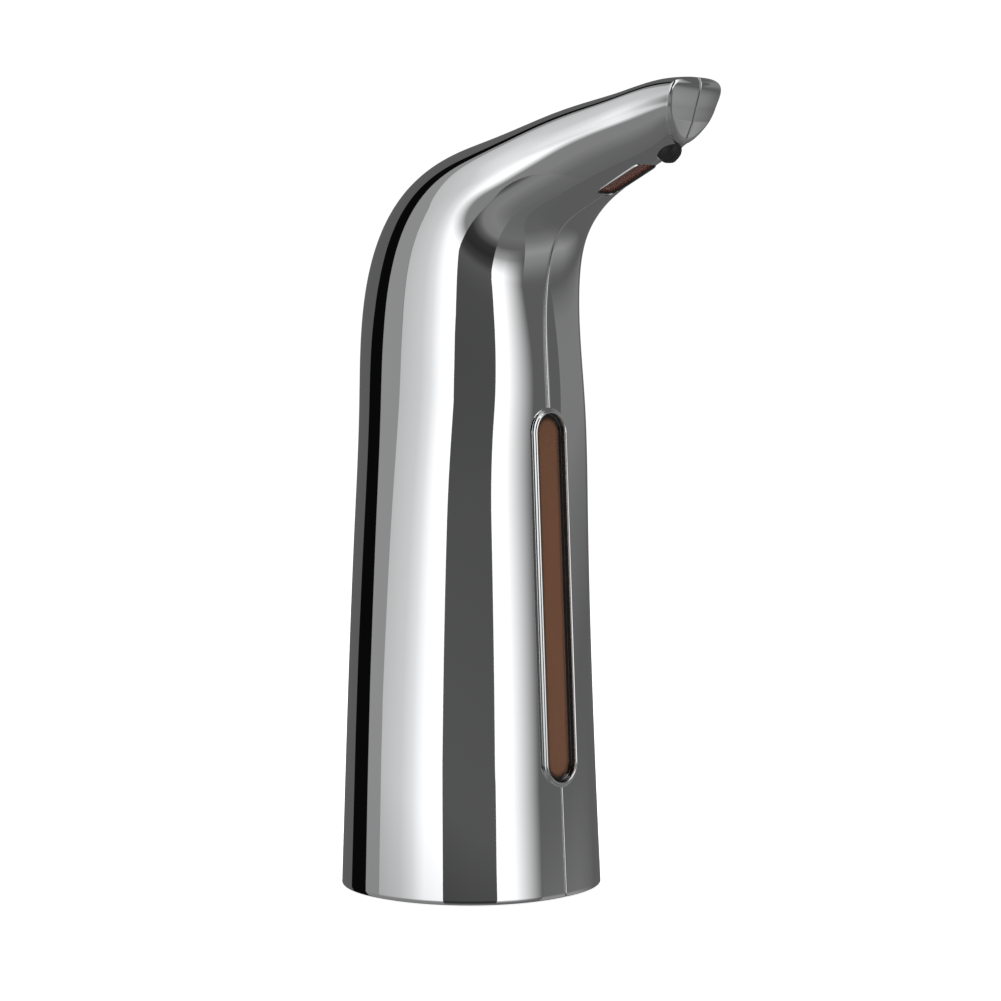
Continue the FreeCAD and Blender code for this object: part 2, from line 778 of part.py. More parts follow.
BACKWARD = Rotation(X_AXIS, -100)
barb_height = size("barb_height", 234.6)
seat_solid = fuse("seat_solid", cylinder("seat_cup", seat_radius, seat_high - seat_low,
                                         0, -outlet_reach, seat_low),
                  cylinder("seat_barb", barb_radius, 6, 0, 0.5 - outlet_reach, barb_height, BACKWARD))
seat_cup_open = cut("seat_open", seat_solid, cylinder(
    "seat_socket", socket_radius, valve_low + valve_rise - seat_low + 0.1, 0, -outlet_reach, seat_low))
seat_bore = cylinder("seat_bore", barb_bore, 12, 0, -outlet_reach, barb_height, BACKWARD)
node(cut("seat", seat_cup_open, seat_bore),
     "nozzle_seat")


# ---------------------------------------------------------------- tubes and cables

def rounded_route(points):
    """Straight runs joined by tangent arcs as large as the shorter of the two runs allows."""
    edges = []
    start = points[0]
    radii = []
    for before, corner, after in zip(points, points[1:], points[2:]):
        into, out = corner - before, after - corner
        shorter = min(into.Length, out.Length)
        half_turn = into.getAngle(out) / 2
        trim = 0.45 * shorter
        radii.append(trim / math.tan(half_turn))
        into.normalize()
        out.normalize()
        first, last = corner - into * trim, corner + out * trim
        bisector = (out - into).normalize()
        centre = corner + bisector * (radii[-1] / math.cos(half_turn))
        middle = centre - bisector * radii[-1]
        edges.append(Part.LineSegment(start, first).toShape())
        edges.append(Part.Arc(first, middle, last).toShape())
        start = last
    edges.append(Part.LineSegment(start, points[-1]).toShape())
    print("bend radii", [round(radius, 1) for radius in radii])
    return Part.Wire(edges)


def swept(points, radius):
    wire = rounded_route(points)
    direction = points[1] - points[0]
    profile = Part.Wire(Part.Circle(points[0], direction, radius).toShape())
    solid = wire.makePipeShell([profile], True, False)
    print("volume over section times length",
          round(solid.Volume / (math.pi * radius ** 2 * wire.Length), 3))
    return solid


def code_piece(name, shape):
    """A piece whose shape only code can make: its sizes come from the sheet, its place is the origin."""
    obj = doc.addObject("Part::Feature", name)
    obj.Shape = shape
    obj.Placement = Placement()
    return obj


port_reach = pump_reach + gear_module * gear_teeth / 2
port_high = size("port_high", 170)
hose_route = [
    Vector(-port_side.value, -port_reach.value, 163.2),
    Vector(-port_side.value, -port_reach.value, 207),
    Vector(-5, -42, 227),
    Vector(0, -outlet_reach.value + 9.0, barb_height.value - 1.5),
    Vector(0, -outlet_reach.value + 3.8, barb_height.value - 0.55),
]
hose = swept(hose_route, tube_radius.value).cut(swept(hose_route, tube_bore.value))
node(code_piece("hose", hose), "outlet_hose")


def cable(label, routes, diameter):
    wires = [swept([Vector(*point) for point in route], diameter / 2) for route in routes]
    shape = wires[0] if len(wires) == 1 else Part.makeCompound(wires)
    return node(code_piece(label + "_wires", shape), label)


cable("sensor_cable", [[(23.4, -9.3, 184.8), (22, -13, 203), (9, -33, 214), (3, -48.2, 218.8)]], 2.0)
cable("motor_leads", [[(-4, y, 191.2), (-3, y, 198), (14, y, 199), (23.4, y + 4, 184.9)]
                      for y in (-10.4, -7.8)], 1.2)
cable("battery_leads", [[(x, 26.2, 28.3), (x, 28.4, 30.1), (x, 33.4, 30.1), (x, 28.2, 157), (15 + x, 22.5, 163),
                         (23.4 + 0.8 * x, 14, 162.1), (23.4 + 0.8 * x, 6.1, 162.1)] for x in (-1.2, 1.2)], 1.3)


# ---------------------------------------------------------------- tank

TANK_FRONT_TILT = Rotation(X_AXIS, -2.86)
TANK_BACK_TILT = Rotation(X_AXIS, 2.52)
tank_front = size("tank_front", 53.4)
tank_channel = size("tank_channel", 31.6)
channel_width = size("channel_width", 9)


def tank_form(name, low, high, inset):
    """A slice of the tank's outer form, made smaller by inset: a cone, flat in front, grooved behind."""
    low, high, inset = as_size(low), as_size(high), as_size(inset)
    taper = (tank_radius_high - tank_radius_low) / (tank_high - tank_low)
    body = cone(name + "_cone", tank_radius_low + taper * (low - tank_low) - inset,
                tank_radius_low + taper * (high - tank_low) - inset, high - low, 0, tank_back, low)
    front = box(name + "_front", 90, 20, 170, -45, inset - tank_front, 22, TANK_FRONT_TILT)
    half_channel = channel_width / 2 + inset
    channel = box(name + "_channel", half_channel * 2, 20, 170, -half_channel, tank_channel - inset, 21,
                  TANK_BACK_TILT)
    return cut(name, body, front, channel)


node(cut("tank", tank_form("tank_outside", tank_low, tank_high, 0),
         tank_form("tank_inside", tank_low + tank_wall, tank_high + 1, tank_wall)), "tank_body")
lid_low = tank_high + seal_thick
lid_high = lid_low + lid_thick
node(cut("seal", tank_form("seal_outside", tank_high, lid_low, 0),
         tank_form("seal_inside", tank_high - 1, lid_low + 1, tank_wall)), "tank_seal")

spigot_gap = tank_wall + 0.2
spigot = cut("spigot", tank_form("spigot_outside", tank_high - 4, lid_low, spigot_gap),
             tank_form("spigot_inside", tank_high - 5, lid_low + 1, spigot_gap + 1.4))
collar_radius = neck_radius + 1.6
collar_high = lid_high + 4
lid_solid = fuse("lid_solid", tank_form("lid_plate", lid_low, lid_high, 0), spigot,
                 cylinder("lid_collar", collar_radius, 4, 0, neck_back, lid_high))
suction_side = size("suction_side", 8)
lid_holes = fuse("lid_holes",
                 cylinder("lid_mouth", neck_bore, 20, 0, neck_back, tank_high - 5),
                 cylinder("lid_socket", neck_radius + 0.1, 5, 0, neck_back, lid_high),
                 cylinder("lid_suction", tube_radius + 0.1, 10, suction_side, -port_reach, tank_high - 1),
                 cylinder("lid_vent", 0.6, 10, -18, 10, tank_high - 1))
node(cut("lid", lid_solid, lid_holes), "tank_lid")

dip_low = tank_low + tank_wall + 9
dip_tube = cut("dip", cylinder("dip_outside", tube_radius, lid_high - dip_low, suction_side, -port_reach, dip_low),
               cylinder("dip_inside", tube_bore, lid_high - dip_low + 2, suction_side, -port_reach, dip_low - 1))
node(dip_tube, "dip_tube")
filter_body = turned_body("filter", [
    (tube_radius + 0.05, 10), (tube_radius + 1.1, 10), (tube_radius + 1.1, 7), (4.4, 5), (4.4, 0), (3.4, 0),
    (3.4, 4.5), (tube_radius + 0.05, 6.2)])
filter_slots = [box(f"filter_slot{turn}", 12, 1.2, 3.2, 0, -0.6, -1,
                    Rotation(Z_AXIS, turn)) for turn in (0, 90, 180, 270)]
filter_cut = cut("filter_cut", filter_body, *filter_slots)
node(locate(filter_cut, suction_side, -port_reach, tank_low + tank_wall + 0.8), "tank_filter")


# ---------------------------------------------------------------- filler at the back of the shoulder

neck_join_drop = (filler_back - neck_back) / filler_along_y
neck_join = filler_height - neck_join_drop * filler_along_z
gasket_low = size("gasket_low", -3)
cap_low = size("cap_low", -1.8)
cap_high = size("cap_high", 0.9)


def neck_form(name, radius, low, top, reach):
    """The filler's elbow: an upright pipe, a round knee and a pipe tilted back."""
    return fuse(name, cylinder(name + "_upright", radius, neck_join - low, 0, neck_back, low),
                sphere(name + "_knee", radius, 0, neck_back, neck_join),
                filler_cylinder(name + "_mouth", radius, top, reach))


reach_inside = neck_join_drop + gasket_low
node(cut("neck", neck_form("neck_outside", neck_radius, lid_high, gasket_low, reach_inside),
         neck_form("neck_inside", neck_bore, lid_high - 1, gasket_low + 2, reach_inside + 2)),
     "filler_neck")
node(cut("gasket", filler_cylinder("gasket_outside", neck_radius - 0.1, cap_low - 0.05,
                                   cap_low - 0.05 - gasket_low),
         filler_cylinder("gasket_inside", neck_bore + 0.2, cap_low + 1, 4)), "filler_gasket")

cap_body = turned_body("cap", [
    (0, cap_high - 1.6), (7.5, cap_high - 1.6), (8.2, cap_high), (cap_radius - 0.6, cap_high),
    (cap_radius, cap_high - 0.6), (cap_radius, cap_low), (neck_bore - 0.3, cap_low),
    (neck_bore - 0.3, cap_low - 4.5), (5.8, cap_low - 4.5), (5.8, cap_low), (0, cap_low)])
cap_bar = block_body("cap_bar", lambda sketch: draw_slot(sketch, 3.2, 15.6), "XY_Plane", 1.55, cap_high - 1.6)
cap_whole = fuse("cap_whole", cap_body, cap_bar)
cap_whole.Placement = Placement(Vector(0, filler_back.value, filler_height.value), FILLER_TILT)
bind(cap_whole, "Placement.Base.y", filler_back)
bind(cap_whole, "Placement.Base.z", filler_height)
node(cap_whole, "filler_cap")


# ---------------------------------------------------------------- gear pump

centre_distance = gear_module * gear_teeth
driven_reach = pump_reach + centre_distance
cavity_low = pump_low + pump_floor
cavity_high = cavity_low + gear_face + 0.2
cover_high = cavity_high + cover_thick
plate_high = cover_high + plate_thick
port_height = cavity_low + gear_face / 2
pump_width = size("pump_width", 17)
pump_length = size("pump_length", 24.8)
pump_middle = pump_reach + centre_distance / 2
SIDEWAYS_LEFT = Rotation(Y_AXIS, -90)


def pump_outline(name, low, thickness):
    """The pump's plan, with an arm on each side for its two ports."""
    return fuse(name, mid_box(name + "_block", pump_width, pump_length, thickness, 0, -pump_middle, low),
                box(name + "_arm_in", suction_side + 3, 6, thickness, 0, -port_reach - 3, low),
                box(name + "_arm_out", port_side + 3, 6, thickness, -(port_side + 3), -port_reach - 3, low))


SCREW_SIDES = [(6.9, 3.0), (-6.9, 3.0), (6.9, 24.8), (-6.9, 24.8)]
pump_screw_holes = [cylinder(f"pump_screw_hole{index}", 0.85, 20, x, -reach, pump_low + 1.5)
                    for index, (x, reach) in enumerate(SCREW_SIDES)]
suction_barb = cylinder("suction_barb", barb_radius, 8, suction_side, -port_reach, pump_low - 8)
housing_holes = fuse(
    "housing_holes",
    cylinder("drive_cavity", 5.7, 10, 0, -pump_reach, cavity_low),
    cylinder("driven_cavity", 5.7, 10, 0, -driven_reach, cavity_low),
    cylinder("inlet_channel", 1.2, suction_side - 2.5, 2.5, -port_reach, port_height, SIDEWAYS),
    cylinder("inlet_drop", barb_bore, 20, suction_side, -port_reach, port_height - 20),
    cylinder("outlet_channel", 1.2, port_side - 2.5, -2.5, -port_reach, port_height, SIDEWAYS_LEFT),
    cylinder("outlet_rise", 1.2, 20, -port_side, -port_reach, port_height))
housing_solid = fuse("housing_solid", pump_outline("housing_form", pump_low, cavity_high - pump_low), suction_barb)
node(cut("housing", housing_solid, housing_holes, *pump_screw_holes), "pump_housing")

cover_holes = fuse(
    "cover_holes",
    cylinder("cover_shaft_hole", shaft_radius + 0.05, 10, 0, -pump_reach, cavity_high - 1),
    cylinder("cover_port", barb_bore, 20, -port_side, -port_reach, cavity_high - 1))
cover_solid = fuse("cover_solid", pump_outline("cover_form", cavity_high, cover_thick),
                   cylinder("pressure_barb", barb_radius, port_high - cover_high, -port_side, -port_reach,
                            cover_high))
cover_screw_holes = [cylinder(f"cover_screw_hole{index}", 0.85, 20, x, -reach, pump_low + 1.5)
                     for index, (x, reach) in enumerate(SCREW_SIDES)]
node(cut("cover", cover_solid, cover_holes, *cover_screw_holes), "pump_cover")

PRESSURE_ANGLE = math.radians(20)
TEETH = int(gear_teeth.value)
PITCH = TEETH / 2
BASE = PITCH * math.cos(PRESSURE_ANGLE)
TIP = PITCH + 0.9
ROOT = PITCH - 1.2
BACKLASH_ANGLE = math.radians(0.7)


def involute(angle):
    return math.tan(angle) - angle


def tooth_point(radius, side):
    """A point on a tooth's flank, in modules: the flank is an involute outside the base circle."""
    angle = math.pi / (2 * TEETH) - BACKLASH_ANGLE + involute(PRESSURE_ANGLE)
    if radius > BASE:
        angle -= involute(math.acos(BASE / radius))
    return gear_module * (radius * math.cos(angle)), gear_module * (side * radius * math.sin(angle))


def gear_body(name, bore, first_turn):
    body = new_body(name)
    disc = new_sketch(body, "XY_Plane", name + "_disc")
    draw_circle(disc, gear_module * ROOT)
    pad(body, disc, gear_face)
    tooth = new_sketch(body, "XY_Plane", name + "_tooth")
    radii = [ROOT - 0.6, BASE, (BASE + PITCH) / 2, PITCH, (PITCH + TIP) / 2, TIP]
    rising = [tooth_point(radius, -1) for radius in radii]
    falling = [tooth_point(radius, 1) for radius in reversed(radii)]
    draw_outline(tooth, rising + falling)
    one_tooth = pad(body, tooth, gear_face)
    pattern = body.newObject("PartDesign::PolarPattern", name + "_teeth")
    pattern.Originals = [one_tooth]
    pattern.Axis = (disc, ["N_Axis"])
    pattern.Angle = 360
    bind(pattern, "Occurrences", gear_teeth)
    body.Tip = pattern
    hole = new_sketch(body, "XY_Plane", name + "_bore", gear_face)
    draw_circle(hole, bore)
    pocket(body, hole, gear_face)
    locate(body, 0, 0, cavity_low + 0.1, Rotation(Z_AXIS, first_turn))
    return body


drive_gear = gear_body("drive", shaft_radius + 0.01, 90)
bind(drive_gear, "Placement.Base.y", -pump_reach)
node(drive_gear, "drive_gear")
driven_gear = gear_body("driven", shaft_radius + 0.05, 90 + 180 / TEETH)
bind(driven_gear, "Placement.Base.y", -driven_reach)
node(driven_gear, "driven_gear")
node(cylinder("pin", shaft_radius, cavity_high - cavity_low - 0.1, 0, -driven_reach, cavity_low), "driven_pin")


def screw(name, head_radius, head_high, radius, length, x, y, z, up=True):
    """A pan-head screw whose head's bearing face is at z."""
    head_z = as_size(z) if up else as_size(z) - head_high
    shank_z = as_size(z) - length if up else as_size(z)
    shank = cylinder(name + "_shank", radius, length, x, y, shank_z)
    head = cylinder(name + "_head", head_radius, head_high, x, y, head_z)
    drive_z = as_size(z) + head_high / 2 if up else as_size(z) - head_high
    slots = [mid_box(f"{name}_slot{index}", wide, deep, head_high / 2, x, y, drive_z)
             for index, (wide, deep) in enumerate(((head_radius * 1.3, 0.5), (0.5, head_radius * 1.3)))]
    return cut(name, fuse(name + "_solid", head, shank), *slots)


node(group("pump_screw_set", [
    screw(f"pump_screw{index}", 1.6, 1.2, 0.8, 7, x, -reach, cover_high)
    for index, (x, reach) in enumerate(SCREW_SIDES)]), "pump_screws")


# ---------------------------------------------------------------- motor

motor_high = plate_high + motor_length
can_wall = size("can_wall", 1)
motor_can = turned_body("can", [
    (shaft_radius + 0.05, 0), (motor_radius, 0), (motor_radius, motor_length),
    (motor_radius - can_wall, motor_length), (motor_radius - can_wall, can_wall),
    (2.6, can_wall), (2.6, 2.6), (shaft_radius + 0.05, 2.6)])
node(locate(motor_can, 0, -pump_reach, plate_high), "motor_can")
motor_endcap = turned_body("endcap", [
    (0, -1.5), (motor_radius - can_wall - 0.05, -1.5), (motor_radius - can_wall - 0.05, 0),
    (motor_radius, 0), (motor_radius, 1.4), (3, 1.4), (3, 2.6), (0, 2.6)])
node(locate(motor_endcap, 0, -pump_reach, motor_high), "motor_endcap")
magnet_low = plate_high + 5
magnet_ring = cut("magnet_ring", cylinder("magnet_outside", motor_radius - can_wall, 14, 0, -pump_reach, magnet_low),
                  cylinder("magnet_inside", motor_radius - can_wall - 1, 16, 0, -pump_reach, magnet_low - 1),
                  mid_box("magnet_gap", 4, 30, 16, 0, -pump_reach, magnet_low - 1))
node(magnet_ring, "motor_magnets")
rotor_disc = cylinder("rotor_disc", 6.5, 12, 0, -pump_reach, magnet_low + 1)
rotor = fuse("rotor_form", cut("rotor_lobes", rotor_disc, *[
    cylinder(f"rotor_gap{turn}", 1.7, 20, 5.6 * math.cos(math.radians(turn)),
             5.6 * math.sin(math.radians(turn)) - pump_reach, magnet_low - 1)
    for turn in (90, 210, 330)]), cylinder("commutator", 2.6, 3.4, 0, -pump_reach, magnet_low + 12.8))
node(cut("rotor", rotor, cylinder("rotor_bore", shaft_radius + 0.01, 40, 0, -pump_reach, plate_high)),
     "motor_rotor")
node(cylinder("shaft", shaft_radius, motor_high - 1.6 - cavity_low - 0.2, 0, -pump_reach, cavity_low + 0.1),
     "motor_shaft")

wing_side = size("wing_side", 18.5)
plate = box("plate", wing_side + 8.5, 20, plate_thick, -8.5, -20, cover_high)
wing = box("wing", plate_thick, 19, 187 - lid_high, wing_side, -13, lid_high)
foot = box("foot", 7, 19, plate_thick, wing_side - 7 + plate_thick, -13, lid_high)
plate_holes = [cylinder(f"plate_screw_hole{index}", 1.9, 20, x, -reach, cover_high - 1)
               for index, (x, reach) in enumerate(SCREW_SIDES)]
node(cut("bracket", fuse("bracket_solid", plate, wing, foot),
         cylinder("plate_shaft_hole", 2.2, 20, 0, -pump_reach, cover_high - 1), *plate_holes), "motor_bracket")


# ---------------------------------------------------------------- control board

board_face = wing_side + plate_thick
node(box("board", 1.4, 18, 26, board_face, -12, 160), "control_board")
parts_face = board_face + 1.4
board_parts = [
    box("driver_chip", 1.3, 6, 6, parts_face, -4, 168),
    box("top_connector", 4, 8, 3.6, parts_face, -10.5, 181),
    box("side_connector", 4, 7, 3, parts_face, -1, 160.6),
    box("small_chip", 1, 3, 4, parts_face, -10, 170),
    cylinder("capacitor", 2.4, 7, parts_face + 2.5, 3.2, 174),
]
node(group("board_part_set", board_parts), "board_parts")


# ---------------------------------------------------------------- batteries

half_pitch = cell_pitch / 2
END_ON = Rotation(X_AXIS, -90)
tray_width = size("tray_width", 30.4)
tray_length = size("tray_length", 56)
tray_low = size("tray_low", 3.7)
tray_high = size("tray_high", 29.2)
bay_width = size("bay_width", 23.4)
bay_length = size("bay_length", 51.2)
bay_high = size("bay_high", 27.6)
end_wall = size("end_wall", 3)
cells = []
springs = []
plates = []
tray_blocks = []
SPRING_TURNS = 2.25
SPRING_STEPS = 27
spring_wire = size("spring_wire", 0.35)
spring_radius = size("spring_radius", 2.9)


def coil_spring(x, y, z, towards):
    """A short battery spring whose axis lies along Y, swept along a smooth curve through its coil."""
    radius = spring_radius.value
    length = bay_length.value / 2 - 0.4 - cell_length.value / 2 - 0.5 - 2 * spring_wire.value
    points = []
    for step in range(SPRING_STEPS + 1):
        part = step / SPRING_STEPS
        angle = 2 * math.pi * SPRING_TURNS * part
        points.append(Vector(radius * math.cos(angle), radius * math.sin(angle), length * part))
    coil = Part.BSplineCurve()
    coil.interpolate(points)
    direction = coil.tangent(coil.FirstParameter)[0]
    profile = Part.Wire(Part.Circle(points[0], direction, spring_wire.value).toShape())
    solid = Part.Wire([coil.toShape()]).makePipeShell([profile], True, False)
    solid.rotate(Vector(), X_AXIS, -90 * towards)
    solid.translate(Vector(x, y, z))
    return solid


for level in range(2):
    for side, towards in ((-1, 1), (1, -1)):
        key = f"{level}{'l' if side < 0 else 'r'}"
        x, z = half_pitch * side, cell_low + cell_pitch * level
        start = -(cell_length / 2) - 0.5 * towards
        can = cylinder(f"cell{key}_can", cell_radius, cell_length, x, start, z, END_ON)
        nub_y = start + cell_length if towards > 0 else start - 1
        cells.append(fuse(f"cell{key}", can, cylinder(f"cell{key}_nub", 1.9, 1, x, nub_y, z, END_ON)))
        nub_end = cell_length / 2 + 0.5
        plate_y = nub_end if towards > 0 else -nub_end - 0.4
        plates.append(mid_box(f"plate_plus{key}", 8, 0.4, 8, x, plate_y + 0.2, z - 4))
        back_y = -(bay_length / 2) if towards > 0 else bay_length / 2 - 0.4
        plates.append(mid_box(f"plate_minus{key}", 8, 0.4, 8, x, back_y + 0.2, z - 4))
        spring_y = (bay_length.value / 2 - 0.4 - spring_wire.value) * -towards
        springs.append(coil_spring(x.value, spring_y, z.value, towards))
        if level == 0:
            wall_y = nub_end + 0.4 if towards > 0 else -(bay_length / 2)
            tray_blocks.append(mid_box(f"tray_block{key}", bay_width / 2, bay_length / 2 - nub_end - 0.4, bay_high - tray_low,
                                       x, wall_y + (bay_length / 2 - nub_end - 0.4) / 2, tray_low))
node(group("cell_set", cells), "battery_cells")
node(group("plate_set", plates), "contact_plates")
node(code_piece("spring_set", Part.makeCompound(springs)), "contact_springs")

tray_shell = cut("tray_shell", mid_box("tray_block", tray_width, tray_length, tray_high - tray_low, 0, 0, tray_low),
                 mid_box("tray_bay", bay_width, bay_length, bay_high - tray_low + 1, 0, 0, tray_low - 1))
tray_flange = cut("tray_flange", mid_box("flange_block", 40, 20, 2, 0, 0, tray_low),
                  mid_box("flange_gap", tray_width - 2, 22, 4, 0, 0, tray_low - 1))
TRAY_SCREWS = [(17.5, 6), (17.5, -6), (-17.5, 6), (-17.5, -6)]
tray_holes = [cylinder(f"tray_hole{index}", 1.1, 6, x, y, tray_low - 1) for index, (x, y) in enumerate(TRAY_SCREWS)]
node(cut("tray", fuse("tray_solid", tray_shell, tray_flange, *tray_blocks), *tray_holes,
         mid_box("lead_notch", 5, 4, 6, 0, 27.5, tray_high - 2)), "battery_tray")
node(group("tray_screw_set", [screw(f"tray_screw{index}", 1.7, 1, 1.0, 3.8, x, y, tray_low + 2)
                              for index, (x, y) in enumerate(TRAY_SCREWS)]), "tray_screws")


# ---------------------------------------------------------------- base

hinge_reach = size("hinge_reach", 25.7)
hinge_height = (door_low + door_high) / 2
hinge_radius = (door_high - door_low) / 2
door_gap = size("door_gap", 0.3)
hinge_pin = size("hinge_pin", 0.8)
knob_width = size("knob_width", 2)
knob_length = size("knob_length", 2.4)

base_holes = [mid_box("door_opening", door_width + door_gap * 2, door_length + 1, 10, 0, 0, base_low - 1),
              mid_box("finger_notch", 12, 7, 1.6, 0, -27, base_low - 0.2),
              mid_box("switch_slot", knob_width + 0.6, knob_length + switch_travel + 0.6, 10, switch_side, 0, base_low - 1),
              cylinder("hinge_bore", hinge_pin + 0.05, door_width + 4, -(door_width / 2) - 2, hinge_reach, hinge_height, SIDEWAYS)]
base_screws = []
for angle in (45, 135, 225, 315):
    x = screw_ring * math.sin(math.radians(angle))
    y = screw_ring * -math.cos(math.radians(angle))
    base_holes.append(cylinder(f"base_hole{angle}", screw_radius + 0.15, 10, x, y, base_low - 1))
    base_holes.append(cylinder(f"head_hole{angle}", 2.6, 2.2, x, y, base_low - 1))
    base_screws.append(screw(f"base_screw{angle}", 2.4, 1.1, screw_radius, 9, x, y, base_low + 1.2, up=False))
for index, (x, y) in enumerate(TRAY_SCREWS):
    base_holes.append(cylinder(f"tray_pilot{index}", 1.05, 10, x, y, base_low + 0.5))
node(cut("base", cylinder("base_disc", base_radius, base_high - base_low, 0, 0, base_low), *base_holes), "base_plate")
node(group("base_screw_set", base_screws), "base_screws")
node(cut("rest", cylinder("rest_disc", rest_outer, base_low, 0, 0, 0),
         cylinder("rest_hole", rest_inner, base_low + 2, 0, 0, -1)), "rest_ring")

door_near = door_length / 2
door_solid = fuse("door_solid",
                  box("door_panel", door_width, door_near + hinge_reach, door_high - door_low,
                      -(door_width / 2), -door_near, door_low),
                  cylinder("door_barrel", hinge_radius, door_width, -(door_width / 2), hinge_reach, hinge_height, SIDEWAYS),
                  cylinder("door_pins", hinge_pin, door_width + 3, -(door_width / 2) - 1.5, hinge_reach, hinge_height, SIDEWAYS))
door_grooves = [mid_box(f"door_groove{index}", 12, 0.8, 0.8, 0, index * 2 - 24, door_low - 0.4) for index in range(4)]
node(cut("door", door_solid, *door_grooves), "battery_cover")

switch_low = base_high + 0.1
node(cut("switch", mid_box("switch_block", 4.6, 9, 4.4, switch_side, 0, switch_low),
         mid_box("switch_bay", knob_width + 0.6, knob_length + switch_travel + 0.8, 2.4, switch_side, 0, switch_low - 0.2)),
     "power_switch")
node(mid_box("knob", knob_width, knob_length, 3.6, switch_side, -(switch_travel / 2), 1.9), "switch_knob")


# ---------------------------------------------------------------- check and write

doc.recompute()
failed = [obj.Name for obj in doc.Objects if "Invalid" in obj.State or "Error" in obj.State]
failed += [obj.Label for obj in nodes if obj.Shape.isNull() or not obj.Shape.isValid()]
if failed:
    raise RuntimeError("these objects failed: " + ", ".join(failed))
os.makedirs("parts", exist_ok=True)
for obj in nodes:
    obj.Shape.exportStep(f"parts/{obj.Label}.step")
    print(obj.Label, len(obj.Shape.Solids), round(obj.Shape.Volume))
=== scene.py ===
import json
import math

import bpy
import numpy as np
from mathutils import Matrix, Vector


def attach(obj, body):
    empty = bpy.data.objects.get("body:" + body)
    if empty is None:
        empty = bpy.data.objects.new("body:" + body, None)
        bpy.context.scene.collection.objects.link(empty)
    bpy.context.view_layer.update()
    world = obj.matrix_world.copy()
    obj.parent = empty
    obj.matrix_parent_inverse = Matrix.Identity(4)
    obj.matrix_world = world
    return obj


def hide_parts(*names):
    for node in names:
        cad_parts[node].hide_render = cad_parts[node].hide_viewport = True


MM = 0.001
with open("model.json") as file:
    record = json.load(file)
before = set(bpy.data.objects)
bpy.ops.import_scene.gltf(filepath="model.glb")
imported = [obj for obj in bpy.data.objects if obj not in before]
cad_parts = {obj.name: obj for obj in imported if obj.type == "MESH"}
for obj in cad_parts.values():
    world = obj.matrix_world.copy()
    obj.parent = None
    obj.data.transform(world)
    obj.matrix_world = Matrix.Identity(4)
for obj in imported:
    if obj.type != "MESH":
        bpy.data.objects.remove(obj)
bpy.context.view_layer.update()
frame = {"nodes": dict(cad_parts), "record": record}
scene = bpy.context.scene


# ---------------------------------------------------------------- mesh helpers

def new_object(name, vertices, faces, materials, smooth_angle=None, face_slots=None):
    """A smooth mesh object; smooth_angle keeps edges sharper than that many degrees sharp."""
    mesh = bpy.data.meshes.new(name)
    mesh.from_pydata([tuple(v) for v in vertices], [], [tuple(f) for f in faces])
    mesh.polygons.foreach_set("use_smooth", [True] * len(mesh.polygons))
    if face_slots is not None:
        mesh.polygons.foreach_set("material_index", face_slots)
    if smooth_angle is not None:
        mesh.set_sharp_from_angle(angle=math.radians(smooth_angle))
    for material in materials:
        mesh.materials.append(material)
    mesh.validate()
    obj = bpy.data.objects.new(name, mesh)
    scene.collection.objects.link(obj)
    return obj


def rounded_path(points, radius, steps=5):
    """The corners of an open path, each rounded by an arc of the radius."""
    points = [np.array(p, float) for p in points]
    path = [points[0]]
    for before, corner, after in zip(points, points[1:], points[2:]):
        into, out = corner - before, after - corner
        length_in, length_out = np.linalg.norm(into), np.linalg.norm(out)
        into, out = into / length_in, out / length_out
        half = math.acos(max(-1.0, min(1.0, float(into @ out)))) / 2
        if half < 0.05:
            path.append(corner)
            continue
        trim = min(radius * math.tan(half), 0.48 * length_in, 0.48 * length_out)
        first, last = corner - into * trim, corner + out * trim
        for step in range(steps + 1):
            t = step / steps
            path.append((1 - t) ** 2 * first + 2 * t * (1 - t) * corner + t * t * last)
    path.append(points[-1])
    return path


def block_outline(length, width, corner, inset, per_corner=14):
    """A rounded rectangle in the XY plane, long side along Y, smaller all round by inset."""
    half_x, half_y = width / 2 - inset, length / 2 - inset
    radius = max(corner - inset, 0.05)
    points = []
    for quarter, (sx, sy) in enumerate(((1, 1), (-1, 1), (-1, -1), (1, -1))):
        for step in range(per_corner + 1):
            angle = math.pi / 2 * (quarter + step / per_corner)
            points.append((sx * (half_x - radius) + radius * math.cos(angle),
                           sy * (half_y - radius) + radius * math.sin(angle)))
    return points


def swept_rim(length, width, corner, profile, fill=False, per_corner=14):
    """Vertices and faces of a profile of (inset, height) pairs carried round a rounded rectangle."""
    vertices, faces = [], []
    for inset, height in profile:
        vertices += [(x, y, height) for x, y in block_outline(length, width, corner, inset, per_corner)]
    count = len(vertices) // len(profile)
    for row in range(len(profile) - 1):
        for column in range(count):
            after = (column + 1) % count
            faces.append((row * count + column, row * count + after,
                          (row + 1) * count + after, (row + 1) * count + column))
    if fill:
        faces.append(tuple(range((len(profile) - 1) * count, len(profile) * count)))
    return vertices, faces


def lathe(profile, steps=96):
    """Vertices and faces of a turned form from (radius, height) pairs."""
    vertices, faces = [], []
    for radius, height in profile:
        for step in range(steps):
            angle = 2 * math.pi * step / steps
            vertices.append((radius * math.cos(angle), radius * math.sin(angle), height))
    for row in range(len(profile) - 1):
        for column in range(steps):
            after = (column + 1) % steps
            faces.append((row * steps + column, row * steps + after,
                          (row + 1) * steps + after, (row + 1) * steps + column))
    return vertices, faces


def placed(vertices, origin, turn_x=0.0):
    """Vertices in millimetres turned about X and moved to origin, in metres."""
    turn = np.array(Matrix.Rotation(math.radians(turn_x), 3, "X"))
    return (np.array(vertices, float) @ turn.T + np.array(origin, float)) * MM


# ---------------------------------------------------------------- materials

